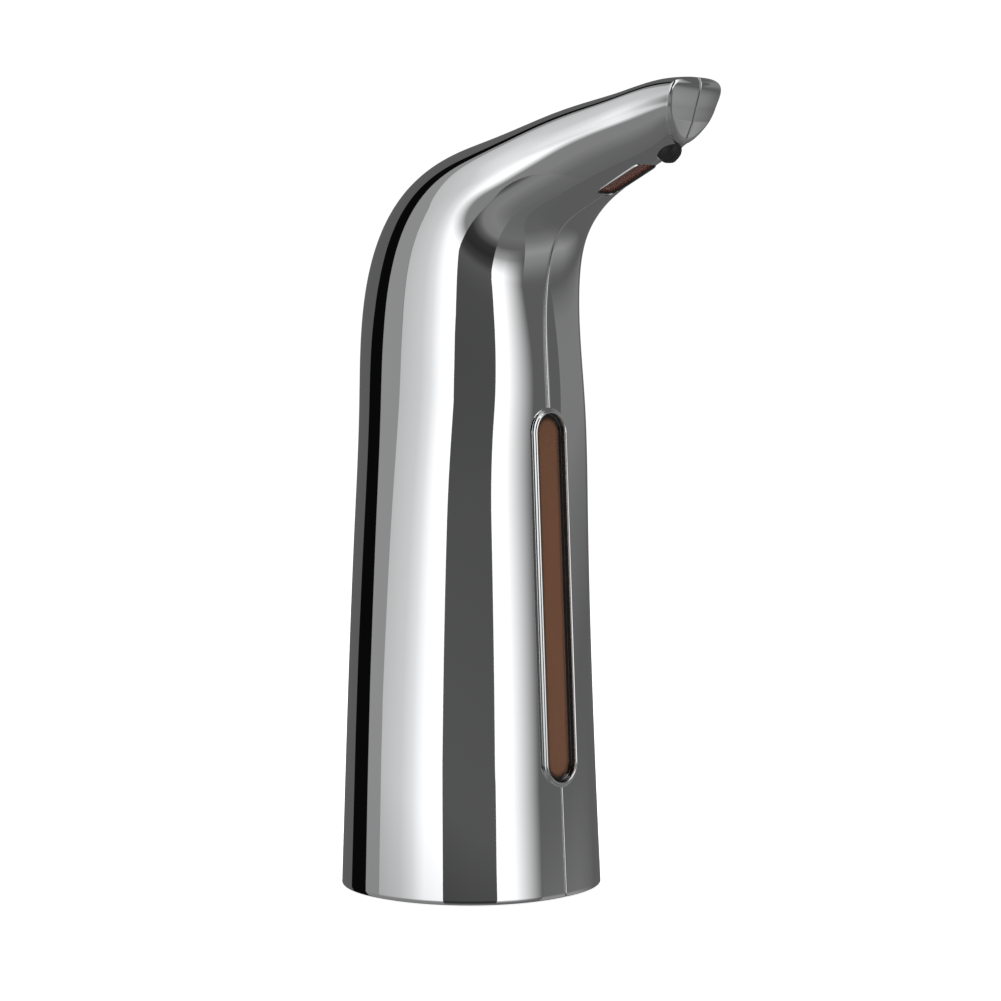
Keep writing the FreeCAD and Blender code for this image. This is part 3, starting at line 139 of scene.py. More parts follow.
def node_look(name, base, roughness, metallic=0.0, vary=0.08, rough_vary=0.06, grain=900.0,
              bump=0.0, patch=40.0, coat=0.0, ior=1.45, transmission=0.0, specular=0.5):
    """A procedural finish: patchy tone, uneven gloss and fine grain."""
    material = bpy.data.materials.new(name)
    material.use_nodes = True
    nodes, links = material.node_tree.nodes, material.node_tree.links
    shader = nodes["Principled BSDF"]
    shader.inputs["Metallic"].default_value = metallic
    shader.inputs["IOR"].default_value = ior
    shader.inputs["Coat Weight"].default_value = coat
    shader.inputs["Coat Roughness"].default_value = 0.05
    shader.inputs["Transmission Weight"].default_value = transmission
    shader.inputs["Specular IOR Level"].default_value = specular
    place = nodes.new("ShaderNodeTexCoord")
    patches = nodes.new("ShaderNodeTexNoise")
    patches.inputs["Scale"].default_value = patch
    patches.inputs["Detail"].default_value = 4.0
    links.new(place.outputs["Object"], patches.inputs["Vector"])
    tone = nodes.new("ShaderNodeMix")
    tone.data_type = "RGBA"
    tone.inputs["A"].default_value = (*[c * (1 - vary) for c in base], 1)
    tone.inputs["B"].default_value = (*[min(1, c * (1 + vary)) for c in base], 1)
    links.new(patches.outputs["Fac"], tone.inputs["Factor"])
    links.new(tone.outputs["Result"], shader.inputs["Base Color"])
    smudges = nodes.new("ShaderNodeTexNoise")
    smudges.inputs["Scale"].default_value = patch * 2.3
    smudges.inputs["Detail"].default_value = 6.0
    links.new(place.outputs["Object"], smudges.inputs["Vector"])
    gloss = nodes.new("ShaderNodeMapRange")
    gloss.inputs["From Min"].default_value = 0.3
    gloss.inputs["From Max"].default_value = 0.7
    gloss.inputs["To Min"].default_value = max(0.0, roughness - rough_vary)
    gloss.inputs["To Max"].default_value = roughness + rough_vary
    links.new(smudges.outputs["Fac"], gloss.inputs["Value"])
    links.new(gloss.outputs["Result"], shader.inputs["Roughness"])
    if bump > 0:
        grains = nodes.new("ShaderNodeTexNoise")
        grains.inputs["Scale"].default_value = grain
        grains.inputs["Detail"].default_value = 3.0
        links.new(place.outputs["Object"], grains.inputs["Vector"])
        relief = nodes.new("ShaderNodeBump")
        relief.inputs["Strength"].default_value = 0.6
        relief.inputs["Distance"].default_value = bump * MM
        links.new(grains.outputs["Fac"], relief.inputs["Height"])
        links.new(relief.outputs["Normal"], shader.inputs["Normal"])
    return material


LOOKS = {
    "chrome_case": node_look("chrome_plating", (0.86, 0.865, 0.875), 0.022, 1.0, vary=0.012,
                             rough_vary=0.010, patch=14, bump=0.002, grain=60),
    "chrome_trim": node_look("chrome_trim", (0.84, 0.845, 0.85), 0.05, 1.0, vary=0.02,
                             rough_vary=0.02, patch=60, bump=0.002, grain=300),
    "smoked_lens": node_look("smoked_brown_lens", (0.145, 0.067, 0.036), 0.16, vary=0.06,
                             rough_vary=0.03, patch=30, bump=0.004, grain=500, coat=0.25),
    "black_plastic": node_look("black_moulding", (0.018, 0.018, 0.019), 0.42, vary=0.2,
                               rough_vary=0.08, bump=0.02, grain=2200),
    "black_rubber": node_look("black_rubber", (0.008, 0.008, 0.008), 0.5, vary=0.25,
                              rough_vary=0.08, bump=0.002, grain=900),
    "natural_plastic": node_look("milky_polypropylene", (0.78, 0.80, 0.79), 0.28, vary=0.05,
                                 bump=0.01, grain=700, transmission=0.35),
    "white_plastic": node_look("white_acetal", (0.76, 0.76, 0.73), 0.35, vary=0.05, bump=0.01),
    "silicone": node_look("silicone", (0.74, 0.73, 0.68), 0.40, vary=0.05, bump=0.01, transmission=0.3),
    "steel": node_look("zinc_plated_steel", (0.58, 0.58, 0.57), 0.32, 1.0, vary=0.10, bump=0.006),
    "brass": node_look("brass", (0.70, 0.50, 0.22), 0.28, 1.0, vary=0.10, bump=0.006),
    "magnet": node_look("ferrite", (0.07, 0.07, 0.075), 0.6, vary=0.2, bump=0.02),
    "board_green": node_look("solder_mask", (0.02, 0.16, 0.06), 0.30, vary=0.15, bump=0.01),
    "cell_wrap": node_look("cell_wrap", (0.10, 0.11, 0.14), 0.30, 0.4, vary=0.12, bump=0.005),
    "clear_lens": node_look("dark_epoxy", (0.10, 0.08, 0.12), 0.12, vary=0.1, coat=0.3),
    "cable_sheath": node_look("cable_sheath", (0.02, 0.02, 0.022), 0.45, vary=0.2, bump=0.01),
}
INSIDE = node_look("bare_abs_inside", (0.05, 0.05, 0.05), 0.48, vary=0.06, bump=0.015, grain=1200)
slot_of = {part["node"]: part["material_slot"] for part in frame["record"]["subparts"]}
for node_name, node_object in frame["nodes"].items():
    node_object.data.materials.clear()
    node_object.data.materials.append(LOOKS[slot_of[node_name]])


# ---------------------------------------------------------------- case skin

# The same sections as the solid case: reach and height of the front point, tilt, depth back from
# it, half width, pinch of the keel side, squareness of the front and of the crown, and how far the
# widest line is lifted towards the crown, all in mm, degrees and parts.
SECTIONS = np.array((
    (39.0, 0.6, 0, 79.1, 39.8, 0, 2.12, 2.0, 0),
    (33.2, 115, 0, 67.9, 36.0, 0, 2.34, 2.0, 0),
    (31.7, 147, 2, 64.8, 34.6, 0, 2.5, 2.0, 0),
    (30.5, 174, 11, 62.3, 33.2, 0.04, 2.5, 2.0, 0),
    (32.3, 192, 24, 52.2, 32.2, 0.10, 2.45, 2.0, 0.01),
    (38.9, 203, 50, 33.0, 28.6, 0.15, 2.4, 2.15, 0.04),
    (52.8, 210.3, 71, 26.6, 22.4, 0.31, 2.3, 2.5, 0.06),
    (66.5, 216.8, 88.6, 23.2, 17.5, 0.37, 2.3, 2.7, 0.07),
    (78.0, 222.0, 98.7, 21.3, 14.4, 0.42, 2.3, 2.9, 0.07),
    (82.4, 224.4, 109, 19.8, 14.3, 0.50, 2.3, 2.9, 0.07),
), float)
WALL = 2.4
FOOT_ROUND, FOOT_STEPS = 0.4, 6


def section_knots():
    """Distance along the case's middle line of every section."""
    reach, height, tilt, depth = SECTIONS.T[:4]
    tilt = np.radians(tilt)
    middle_x = reach - depth / 2 * np.cos(tilt)
    middle_z = height + depth / 2 * np.sin(tilt)
    steps = np.hypot(np.diff(middle_x), np.diff(middle_z))
    return np.concatenate(([0.0], np.cumsum(steps)))


def spline_bends(knots, values):
    """Second derivatives at the knots of the natural cubic spline through the values."""
    count = len(knots)
    spans = np.diff(knots)
    slopes = np.diff(values, axis=0) / spans[:, None]
    system = np.eye(count)
    right = np.zeros_like(values)
    for k in range(1, count - 1):
        system[k, k - 1:k + 2] = spans[k - 1], 2 * (spans[k - 1] + spans[k]), spans[k]
        right[k] = 6 * (slopes[k] - slopes[k - 1])
    return np.linalg.solve(system, right)


KNOTS = section_knots()
BENDS = spline_bends(KNOTS, SECTIONS)


def section_at(along):
    """The section values at a distance along the case's middle line."""
    index = int(np.clip(np.searchsorted(KNOTS, along, side="right") - 1, 0, len(KNOTS) - 2))
    span = KNOTS[index + 1] - KNOTS[index]
    after = (along - KNOTS[index]) / span
    before = 1 - after
    straight = before * SECTIONS[index] + after * SECTIONS[index + 1]
    bend = (before ** 3 - before) * BENDS[index] + (after ** 3 - after) * BENDS[index + 1]
    return straight + bend * span ** 2 / 6


def section_row(values, turns):
    """Points of one half section at the given turns, 0 at the front and pi at the back."""
    reach, height, tilt, depth, half_width, pinch, square, crown, lift = values
    cosine, sine = np.cos(turns), np.abs(np.sin(turns))
    power = 2 / (square + (crown - square) * (1 - cosine) / 2)
    part = 0.5 * (1 - np.sign(cosine) * np.abs(cosine) ** power)
    across = depth * (part + lift * np.sin(math.pi * part))
    side = half_width * sine ** power * (1 - pinch * (1 + cosine) / 2)
    angle = math.radians(tilt)
    return np.stack((side, -(reach - across * math.cos(angle)), height + across * math.sin(angle)), axis=1)


def inset_values(values, inset):
    """The section values of a section smaller all round by inset."""
    inner = np.array(values)
    angle = math.radians(values[2])
    inner[0] -= inset * math.cos(angle)
    inner[1] += inset * math.sin(angle)
    inner[3] -= 2 * inset
    inner[4] -= inset
    return inner


# Each half stops just short of the mid-plane with a small rounded edge, so the joint reads as a groove.
SEAM_STEPS = ((0.04, 0.60), (0.08, 0.36), (0.16, 0.18), (0.28, 0.06), (0.44, 0.0))


def seam_drop(side):
    """How far the surface has dropped into the seam at a distance from the mid-plane."""
    sides = [step[0] for step in SEAM_STEPS]
    drops = [step[1] for step in SEAM_STEPS]
    return np.interp(side, sides, drops)


def seam_row(values, columns, groove):
    """One half row, its two ends rounded down into the seam."""
    half_width, pinch = values[4:6]
    inward = np.array((0, math.cos(math.radians(values[2])), math.sin(math.radians(values[2]))))

    def turn_for(side, narrowing, square):
        return math.asin(min(0.9, (side / (half_width * narrowing)) ** (square / 2)))

    front = [turn_for(side, 1 - pinch, values[6]) for side, _ in SEAM_STEPS]
    back = [math.pi - turn_for(side, 1.0, values[7]) for side, _ in SEAM_STEPS]
    middle = np.linspace(front[-1], back[-1], columns + 1)[1:-1]
    turns = np.array(front + list(middle) + back[::-1])
    points = section_row(values, turns)
    for index, (side, drop) in enumerate(SEAM_STEPS):
        points[index, 0] = points[-1 - index, 0] = side
        if groove:
            points[index] += inward * drop
            points[-1 - index] -= inward * drop
    return points


# The nose: how wide its rounded edge is at the crown and at the chin, how fast it widens towards the
# chin, how far round the edge turns in degrees, how far forward it stands at most, and the dome's rise.
NOSE_EDGE, NOSE_CHIN, CHIN_GROWTH = 1.3, 4.6, 2.2
NOSE_SWEEP, EDGE_STEPS = 62, 16
EDGE_FORWARD_LIMIT, EDGE_FORWARD_SHARE = 2.6, 0.7
NOSE_BULGE, FACE_STEPS = 1.0, 40
# Inside this distance from the mid-plane the face's columns run straight into the seam.
SEAM_LANE = 0.36


def nose_rows(last, columns, groove):
    """Rows over the nose: a rounded edge, widest at the chin, then a faintly domed face."""
    tilt = math.radians(last[2])
    forward = np.array((0, -math.sin(tilt), math.cos(tilt)))
    upward = np.array((0, math.cos(tilt), math.sin(tilt)))
    edge = seam_row(last, columns, False)
    middle = np.array((0.0, *edge[:, 1:].mean(axis=0)))
    towards = middle - edge
    heights = edge @ upward
    rise = (heights - heights.min()) / (heights.max() - heights.min())
    width = NOSE_EDGE + (NOSE_CHIN - NOSE_EDGE) * (1 - rise) ** CHIN_GROWTH
    lengths = np.linalg.norm(towards, axis=1)
    directions = towards / lengths[:, None]
    rows = []
    for step in range(1, EDGE_STEPS + 1):
        angle = math.radians(NOSE_SWEEP) * step / EDGE_STEPS
        row = edge + directions * (width * (1 - math.cos(angle)))[:, None]
        row[:, 0] = np.minimum(edge[:, 0], np.maximum(row[:, 0], SEAM_LANE - 0.02))
        stands_out = np.minimum(width, EDGE_FORWARD_LIMIT) * EDGE_FORWARD_SHARE * math.sin(angle)
        rows.append(row + forward * stands_out[:, None])
    rim = rows[-1]
    shares = list(np.linspace(0, 1, FACE_STEPS)[1:-1]) + [None] * len(SEAM_STEPS)
    inner_steps = [side for side, _ in SEAM_STEPS][::-1]
    rim_heights = rim @ upward
    centre_height = 0.5 * (rim_heights.max() + rim_heights.min())
    half_height = 0.5 * (rim_heights.max() - rim_heights.min())
    half_span = rim[:, 0].max()

    def domed(row):
        out = (row[:, 0] / half_span) ** 2 + ((row @ upward - centre_height) / half_height) ** 2
        rim_out = (rim[:, 0] / half_span) ** 2 + ((rim_heights - centre_height) / half_height) ** 2
        return row + forward * NOSE_BULGE * np.clip(rim_out - out, 0, None)[:, None]

    for index, share in enumerate(shares):
        row = rim.copy()
        if share is None:
            side = inner_steps[index - (len(shares) - len(SEAM_STEPS))]
            row[:, 0] = np.minimum(rim[:, 0], side)
        else:
            row[:, 0] = np.minimum(rim[:, 0], SEAM_LANE + (rim[:, 0] - SEAM_LANE) * (1 - share))
            row[:, 0] = np.where(rim[:, 0] < SEAM_LANE, rim[:, 0], row[:, 0])
        rows.append(domed(row))
    if groove:
        inward = np.where(rise[:, None] > 0.5, -upward, upward)
        for index, row in enumerate(rows):
            drop = seam_drop(row[:, 0])[:, None]
            turned = min(1.0, (index + 1) / EDGE_STEPS)
            way = inward * (1 - turned) - forward * turned
            rows[index] = row + way / np.linalg.norm(way, axis=1, keepdims=True) * drop
    return rows


def skin_rows(columns, straight_rows, bend_rows, groove=True):
    """Rows of points of one half of the skin, from the rounded foot to the middle of the nose."""
    bend_start = KNOTS[2]
    alongs = np.concatenate((np.linspace(0, bend_start, straight_rows, endpoint=False),
                             np.linspace(bend_start, KNOTS[-1], bend_rows)))
    rows = []
    for step in range(FOOT_STEPS):
        angle = math.pi / 2 * (1 - step / FOOT_STEPS)
        values = inset_values(section_at(0), FOOT_ROUND * (1 - math.cos(angle)))
        values[1] = SECTIONS[0][1] + FOOT_ROUND * (1 - math.sin(angle))
        rows.append(seam_row(values, columns, groove))
    rows += [seam_row(section_at(along), columns, groove) for along in alongs[alongs > FOOT_ROUND]]
    rows += nose_rows(section_at(KNOTS[-1]), columns, groove)
    return np.array(rows)


class Hole:
    """An opening in the skin: a rounded rectangle seen along a tilted axis.

    Only the part of the skin within reach of the origin, along the axis, is opened."""

    def __init__(self, origin, turn_x, length, width, corner, reach):
        self.origin, self.reach = np.array(origin, float), reach
        self.turn = np.array(Matrix.Rotation(math.radians(turn_x), 3, "X"))
        self.half = np.array((width / 2, length / 2))
        self.corner = corner

    def local(self, points):
        return (points - self.origin) @ self.turn

    def distance(self, points):
        """Signed distance to the outline, negative inside, and the outline's nearest point."""
        local = self.local(points)
        flat = local[:, :2]
        core = np.clip(flat, -(self.half - self.corner), self.half - self.corner)
        away = flat - core
        length = np.linalg.norm(away, axis=1)
        outside_core = length > 1e-9
        distance = np.where(outside_core, length - self.corner, -self.corner)
        near = np.abs(local[:, 2]) < self.reach
        return np.where(near, distance, 99.0)

    def snapped(self, points, normals):
        """Points moved along the surface onto the outline."""
        local = self.local(points)
        flat = local[:, :2]
        core = np.clip(flat, -(self.half - self.corner), self.half - self.corner)
        away = flat - core
        length = np.maximum(np.linalg.norm(away, axis=1, keepdims=True), 1e-9)
        target = core + away / length * self.corner
        shift = np.concatenate((target - flat, np.zeros((len(flat), 1))), axis=1) @ self.turn.T
        local_normals = normals @ self.turn
        steep = np.where(np.abs(local_normals[:, 2]) < 0.2, 0.2, local_normals[:, 2])
        drop = -np.einsum("ij,ij->i", shift, normals) / steep
        return points + shift + drop[:, None] * self.turn[:, 2]


EYE_ORIGIN, EYE_TURN = (0, -62.25, 215.05), -25
EYE_LENGTH, EYE_WIDTH, EYE_CORNER = 19.4, 9.2, 3.0
EYE_GAP = 0.1
OUTLET_ORIGIN, OUTLET_MOUTH = (0, -78.1, 222.0), 7.0
FILLER_ORIGIN, FILLER_TURN, FILLER_MOUTH = (0, 20.8, 208.4), -58, 21.6
WINDOW_ORIGIN, WINDOW_TURN = (0, -34.75, 90.75), 90 - 2.6
WINDOW_LENGTH, WINDOW_WIDTH = 114.5, 15.8
WINDOW_MOUTH_LENGTH, WINDOW_MOUTH_WIDTH = 112.0, 13.4
HOLES = (
    Hole(WINDOW_ORIGIN, WINDOW_TURN, WINDOW_MOUTH_LENGTH, WINDOW_MOUTH_WIDTH, WINDOW_MOUTH_WIDTH / 2, 8),
    Hole(EYE_ORIGIN, EYE_TURN, EYE_LENGTH + EYE_GAP, EYE_WIDTH + EYE_GAP, EYE_CORNER + EYE_GAP / 2, 8),
    Hole(OUTLET_ORIGIN, 0, OUTLET_MOUTH, OUTLET_MOUTH, OUTLET_MOUTH / 2, 6),
    Hole(FILLER_ORIGIN, FILLER_TURN, FILLER_MOUTH, FILLER_MOUTH, FILLER_MOUTH / 2, 8),
)


# Walls nearer the mid-plane than this are the dark sides of the seam; the inner surface keeps every
# fourth row and column of the skin.
SEAM_WALL_SIDE, INNER_STEP = 0.2, 4


def grid_normals(rows):
    """Outward unit normals of a grid of points."""
    along = np.gradient(rows, axis=0)
    around = np.gradient(rows, axis=1)
    normals = np.cross(around, along)
    return normals / np.maximum(np.linalg.norm(normals, axis=2, keepdims=True), 1e-12)


def open_edges(faces):
    """Directed edges that only one face uses."""
    edges = {}
    for face in faces:
        for a, b in zip(face, np.roll(face, -1)):
            key = (min(a, b), max(a, b))
            edges[key] = None if key in edges else (int(a), int(b))
    return [pair for pair in edges.values() if pair is not None]


def case_half(name, columns, straight_rows, bend_rows, mirrored):
    """One half of the case: the outer skin with its openings, the walls' edges and the inner surface."""
    rows = skin_rows(columns, straight_rows, bend_rows)
    height, width = rows.shape[:2]
    plain_rows = skin_rows(columns, straight_rows, bend_rows, groove=False)
    normals = grid_normals(plain_rows).reshape(-1, 3)
    points = rows.reshape(-1, 3).copy()
    inside = np.zeros(len(points), bool)
    owner = np.full(len(points), -1)
    for index, hole in enumerate(HOLES):
        hit = hole.distance(points) < 0
        inside |= hit
        owner[hit] = index
    corner = np.arange(height * width).reshape(height, width)
    cells = np.stack((corner[:-1, :-1], corner[:-1, 1:], corner[1:, 1:], corner[1:, :-1]), axis=-1)
    cells = cells.reshape(-1, 4)
    inside_count = inside[cells].sum(axis=1)
    kept = cells[inside_count < 4]
    mixed = cells[(inside_count > 0) & (inside_count < 4)]
    moving = np.unique(mixed[inside[mixed]])
    for index, hole in enumerate(HOLES):
        chosen = moving[owner[moving] == index]
        if len(chosen):
            points[chosen] = hole.snapped(points[chosen], normals[chosen])
    vertices = list(points)
    faces = [tuple(int(i) for i in face) for face in kept]
    slots = [0] * len(faces)
    # Walls go inwards from every open edge: the holes, the foot and the seam.
    wall_of = {}

    def wall_vertices(index):
        if index not in wall_of:
            inward = -normals[index]
            if owner[index] >= 0:
                axis = HOLES[owner[index]].turn[:, 2]
                inward = axis * np.sign(axis @ inward)
            inward[0] = max(inward[0], 0) if owner[index] < 0 else inward[0]
            wall_of[index] = (len(vertices), len(vertices) + 1)
            vertices.append(points[index])
            vertices.append(points[index] + inward * WALL)
        return wall_of[index]

    for a, b in open_edges(kept):
        top_a, low_a = wall_vertices(a)
        top_b, low_b = wall_vertices(b)
        faces.append((top_b, top_a, low_a, low_b))
        in_seam = owner[a] < 0 and owner[b] < 0 and max(points[a][0], points[b][0]) < SEAM_WALL_SIDE
        slots.append(1 if in_seam else 0)
    # The inner surface, one wall thickness in, on a coarser grid.
    inner = (plain_rows - WALL * normals.reshape(height, width, 3))[::INNER_STEP, ::INNER_STEP]
    inner[:, :, 0] = np.maximum(inner[:, :, 0], 0.0)
    inner_height, inner_width = inner.shape[:2]
    flat_inner = inner.reshape(-1, 3)
    in_hole = np.zeros(len(flat_inner), bool)
    for hole in HOLES:
        in_hole |= hole.distance(flat_inner) < 0
    base = len(vertices)
    vertices += list(flat_inner)
    for row in range(inner_height - 1):
        for column in range(inner_width - 1):
            first = row * inner_width + column
            face = (first, first + inner_width, first + inner_width + 1, first + 1)
            if not in_hole[list(face)].any():
                faces.append(tuple(base + index for index in face))
                slots.append(1)
    vertices = np.array(vertices) * MM
    if mirrored:
        vertices[:, 0] *= -1
        faces = [face[::-1] for face in faces]
    return new_object(name, vertices, faces, [LOOKS["chrome_case"], INSIDE], face_slots=slots)


COLUMNS, STRAIGHT_ROWS, BEND_ROWS = 170, 110, 250
for side, mirrored in (("right", False), ("left", True)):
    shell = case_half(f"{side}_case_skin", COLUMNS, STRAIGHT_ROWS, BEND_ROWS, mirrored)
    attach(shell, "case")
    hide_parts(f"{side}_case_shell")


# ---------------------------------------------------------------- level window

def lens_painted_edge_shade(name, centre, half_straight, half_width, dark, band):
    """A smoked translucent finish with painted shade: it darkens towards the edge of a long round-ended
    lens, where the recess's shadow falls.
    """
    material = node_look(name, (0.132, 0.060, 0.033), 0.14, vary=0.07, rough_vary=0.03,
                         patch=30, bump=0.003, grain=500, coat=0.2)
    nodes, links = material.node_tree.nodes, material.node_tree.links
    shader = nodes["Principled BSDF"]
    tone = shader.inputs["Base Color"].links[0].from_socket

    def math_node(kind, first, second=None):
        node = nodes.new("ShaderNodeMath")
        node.operation = kind
        for socket, value in zip(node.inputs, (first, second)):
            if value is None:
                continue
            if isinstance(value, (int, float)):
                socket.default_value = value
            else:
                links.new(value, socket)
        return node.outputs["Value"]

    place = nodes.new("ShaderNodeTexCoord")
    split = nodes.new("ShaderNodeSeparateXYZ")
    links.new(place.outputs["Object"], split.inputs["Vector"])
    beyond = math_node("ABSOLUTE", math_node("SUBTRACT", split.outputs["Z"], centre * MM))
    beyond = math_node("MAXIMUM", math_node("SUBTRACT", beyond, half_straight * MM), 0.0)
    across = math_node("MULTIPLY", split.outputs["X"], split.outputs["X"])
    out = math_node("SQRT", math_node("ADD", across, math_node("MULTIPLY", beyond, beyond)))
    # Painted shade: the lens colour is blended to near black in a band along its edge, standing in for the
    # shadow in the recess.
    shade = nodes.new("ShaderNodeMapRange")
    shade.interpolation_type = "SMOOTHSTEP"
    shade.inputs["From Min"].default_value = (half_width - band) * MM
    shade.inputs["From Max"].default_value = (half_width - band * 0.3) * MM
    shade.inputs["To Min"].default_value = 0.0
    shade.inputs["To Max"].default_value = 1.0
    links.new(out, shade.inputs["Value"])
    mix = nodes.new("ShaderNodeMix")
    mix.data_type = "RGBA"
    links.new(shade.outputs["Result"], mix.inputs["Factor"])
    links.new(tone, mix.inputs["A"])
    mix.inputs["B"].default_value = (*dark, 1)
    links.new(mix.outputs["Result"], shader.inputs["Base Color"])
    return material


# Profiles are (inset from the outline, height above the mouth) pairs.
WINDOW_CORNER_STEPS = 28
bezel_profile = rounded_path(
    ((0.0, -1.7), (0.0, -0.25), (0.3, 0.15), (0.75, 0.3), (1.0, 0.52), (1.35, 0.66), (1.62, 0.5),
     (1.72, 0.2), (1.78, -1.3), (2.4, -1.4)), 0.16)
vertices, faces = swept_rim(WINDOW_LENGTH, WINDOW_WIDTH, WINDOW_WIDTH / 2, bezel_profile,
                            per_corner=WINDOW_CORNER_STEPS)
bezel = new_object("window_bezel_ring", placed(vertices, WINDOW_ORIGIN, WINDOW_TURN), faces,
                   [LOOKS["chrome_trim"]], smooth_angle=50)
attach(bezel, "case")
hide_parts("window_bezel")

LENS_DEPTH, LENS_INSET, LENS_BEVEL = 1.15, 1.74, 0.24
lens_flat = LENS_INSET + LENS_BEVEL
lens_profile = [(LENS_INSET, -LENS_DEPTH - 1.4), (LENS_INSET, -LENS_DEPTH - 0.25), (lens_flat, -LENS_DEPTH)]
lens_profile += [(lens_flat + k * 0.8, -LENS_DEPTH) for k in range(1, 8)]
vertices, faces = swept_rim(WINDOW_LENGTH, WINDOW_WIDTH, WINDOW_WIDTH / 2, lens_profile, fill=True,
                            per_corner=WINDOW_CORNER_STEPS)
half_straight = (WINDOW_LENGTH - WINDOW_WIDTH) / 2
# The window lens gets painted shade along its edge for the shadow inside the bezel's recess.
lens_look = lens_painted_edge_shade("smoked_window_painted_edge_shade", WINDOW_ORIGIN[2], half_straight, WINDOW_WIDTH / 2 - LENS_INSET,
                        (0.008, 0.005, 0.004), 3.0)
lens = new_object("level_window_lens", placed(vertices, WINDOW_ORIGIN, WINDOW_TURN), faces,
                  [lens_look], smooth_angle=30)
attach(lens, "case")
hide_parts("level_window")


# ---------------------------------------------------------------- sensor eye

# The chrome lip round the eye's mouth; profiles are (inset, depth) pairs.
EYE_LIP = 0.28
vertices, faces = swept_rim(EYE_LENGTH, EYE_WIDTH, EYE_CORNER,
                            rounded_path(((0.0, 2.4), (0.0, 0.0), (EYE_LIP, 0.0), (EYE_LIP, 0.3)), 0.12))
eye_collar = new_object("sensor_mouth_collar", placed(vertices, EYE_ORIGIN, EYE_TURN), faces,
                        [LOOKS["chrome_trim"]], smooth_angle=50)
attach(eye_collar, "case")

eye_profile = rounded_path(
    ((EYE_LIP, 2.4), (EYE_LIP, 0.1), (0.42, 0.08), (0.5, 1.15), (1.6, 1.25)), 0.06)
vertices, faces = swept_rim(EYE_LENGTH, EYE_WIDTH, EYE_CORNER, eye_profile)
eye_ring = new_object("sensor_frame_ring", placed(vertices, EYE_ORIGIN, EYE_TURN), faces,
                      [LOOKS["black_plastic"]], smooth_angle=50)
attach(eye_ring, "case")
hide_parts("sensor_frame")

infrared_look = node_look("infrared_lens", (0.060, 0.021, 0.013), 0.16, vary=0.08, rough_vary=0.03,
                          patch=60, coat=0.2)
eye_lens_profile = ((0.5, 2.2), (0.5, 1.0), (0.66, 0.84), (1.5, 0.8), (3.0, 0.76), (4.2, 0.74))
vertices, faces = swept_rim(EYE_LENGTH, EYE_WIDTH, EYE_CORNER, eye_lens_profile, fill=True)
eye_lens = new_object("sensor_lens_plate", placed(vertices, EYE_ORIGIN, EYE_TURN), faces,
                      [infrared_look], smooth_angle=30)
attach(eye_lens, "case")
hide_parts("sensor_lens")


# ---------------------------------------------------------------- liquid outlet

# The cone from its bore, round the tip and up its side, as (radius, height above the tip) pairs.
NOZZLE_TIP = 219.2
nozzle_profile = rounded_path(
    ((0.5, 2.0), (0.55, 0.16), (0.95, 0.0), (1.7, 0.3), (2.7, 1.3), (3.45, 2.4), (3.7, 3.4), (3.7, 8.0)),
    0.5)
vertices, faces = lathe(nozzle_profile)
nozzle = new_object("outlet_nozzle_cone", placed(vertices, (0, OUTLET_ORIGIN[1], NOZZLE_TIP)), faces,
                    [LOOKS["black_rubber"]], smooth_angle=60)
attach(nozzle, "case")
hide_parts("outlet_nozzle")


# ---------------------------------------------------------------- studio

def levels_ramp(nodes, stops, low, high):
    """A colour ramp through (position, brightness) stops given on the scale low to high."""
    ramp = nodes.new("ShaderNodeValToRGB")
    ramp.color_ramp.interpolation = "LINEAR"
    while len(ramp.color_ramp.elements) < len(stops):
        ramp.color_ramp.elements.new(0.5)
    ordered = sorted(((position - low) / (high - low), level) for position, level in stops)
    for element, (position, level) in zip(ramp.color_ramp.elements, ordered):
        element.position = position
        element.color = (level, level, level, 1)
    return ramp


def emitter(name, across, rise=((-90, 1), (90, 1)), under=((-90, 0), (90, 0))):
    """A glowing card: brightness across it, times the rise by elevation, plus the light under it."""
    material = bpy.data.materials.new(name)
    material.use_nodes = True
    nodes, links = material.node_tree.nodes, material.node_tree.links
    nodes.clear()
    place = nodes.new("ShaderNodeUVMap")
    split = nodes.new("ShaderNodeSeparateXYZ")
    links.new(place.outputs["UV"], split.inputs["Vector"])
    sideways = levels_ramp(nodes, across, 0, 1)
    upward = levels_ramp(nodes, rise, -90, 90)
    below = levels_ramp(nodes, under, -90, 90)
    links.new(split.outputs["X"], sideways.inputs["Fac"])
    links.new(split.outputs["Y"], upward.inputs["Fac"])
    links.new(split.outputs["Y"], below.inputs["Fac"])
    joined = nodes.new("ShaderNodeVectorMath")
    joined.operation = "MULTIPLY_ADD"
    links.new(sideways.outputs["Color"], joined.inputs[0])
    links.new(upward.outputs["Color"], joined.inputs[1])
    links.new(below.outputs["Color"], joined.inputs[2])
    glow = nodes.new("ShaderNodeEmission")
    out = nodes.new("ShaderNodeOutputMaterial")
    links.new(joined.outputs["Vector"], glow.inputs["Color"])
    links.new(glow.outputs["Emission"], out.inputs["Surface"])
    return material


# The light tent is a dome of glowing cards round the object; its angles start from the camera's side.
CAMERA_SIDE = -46.73
DOME_RADIUS, DOME_HEIGHT = 2.5, 0.15
DOME_COLUMNS, DOME_ROWS = 36, 48
LEAN_FROM, LEAN_TO = 10, 50
TENT_SWING, SWING_FROM, SWING_TO = 10.0, -7.5, 6.5


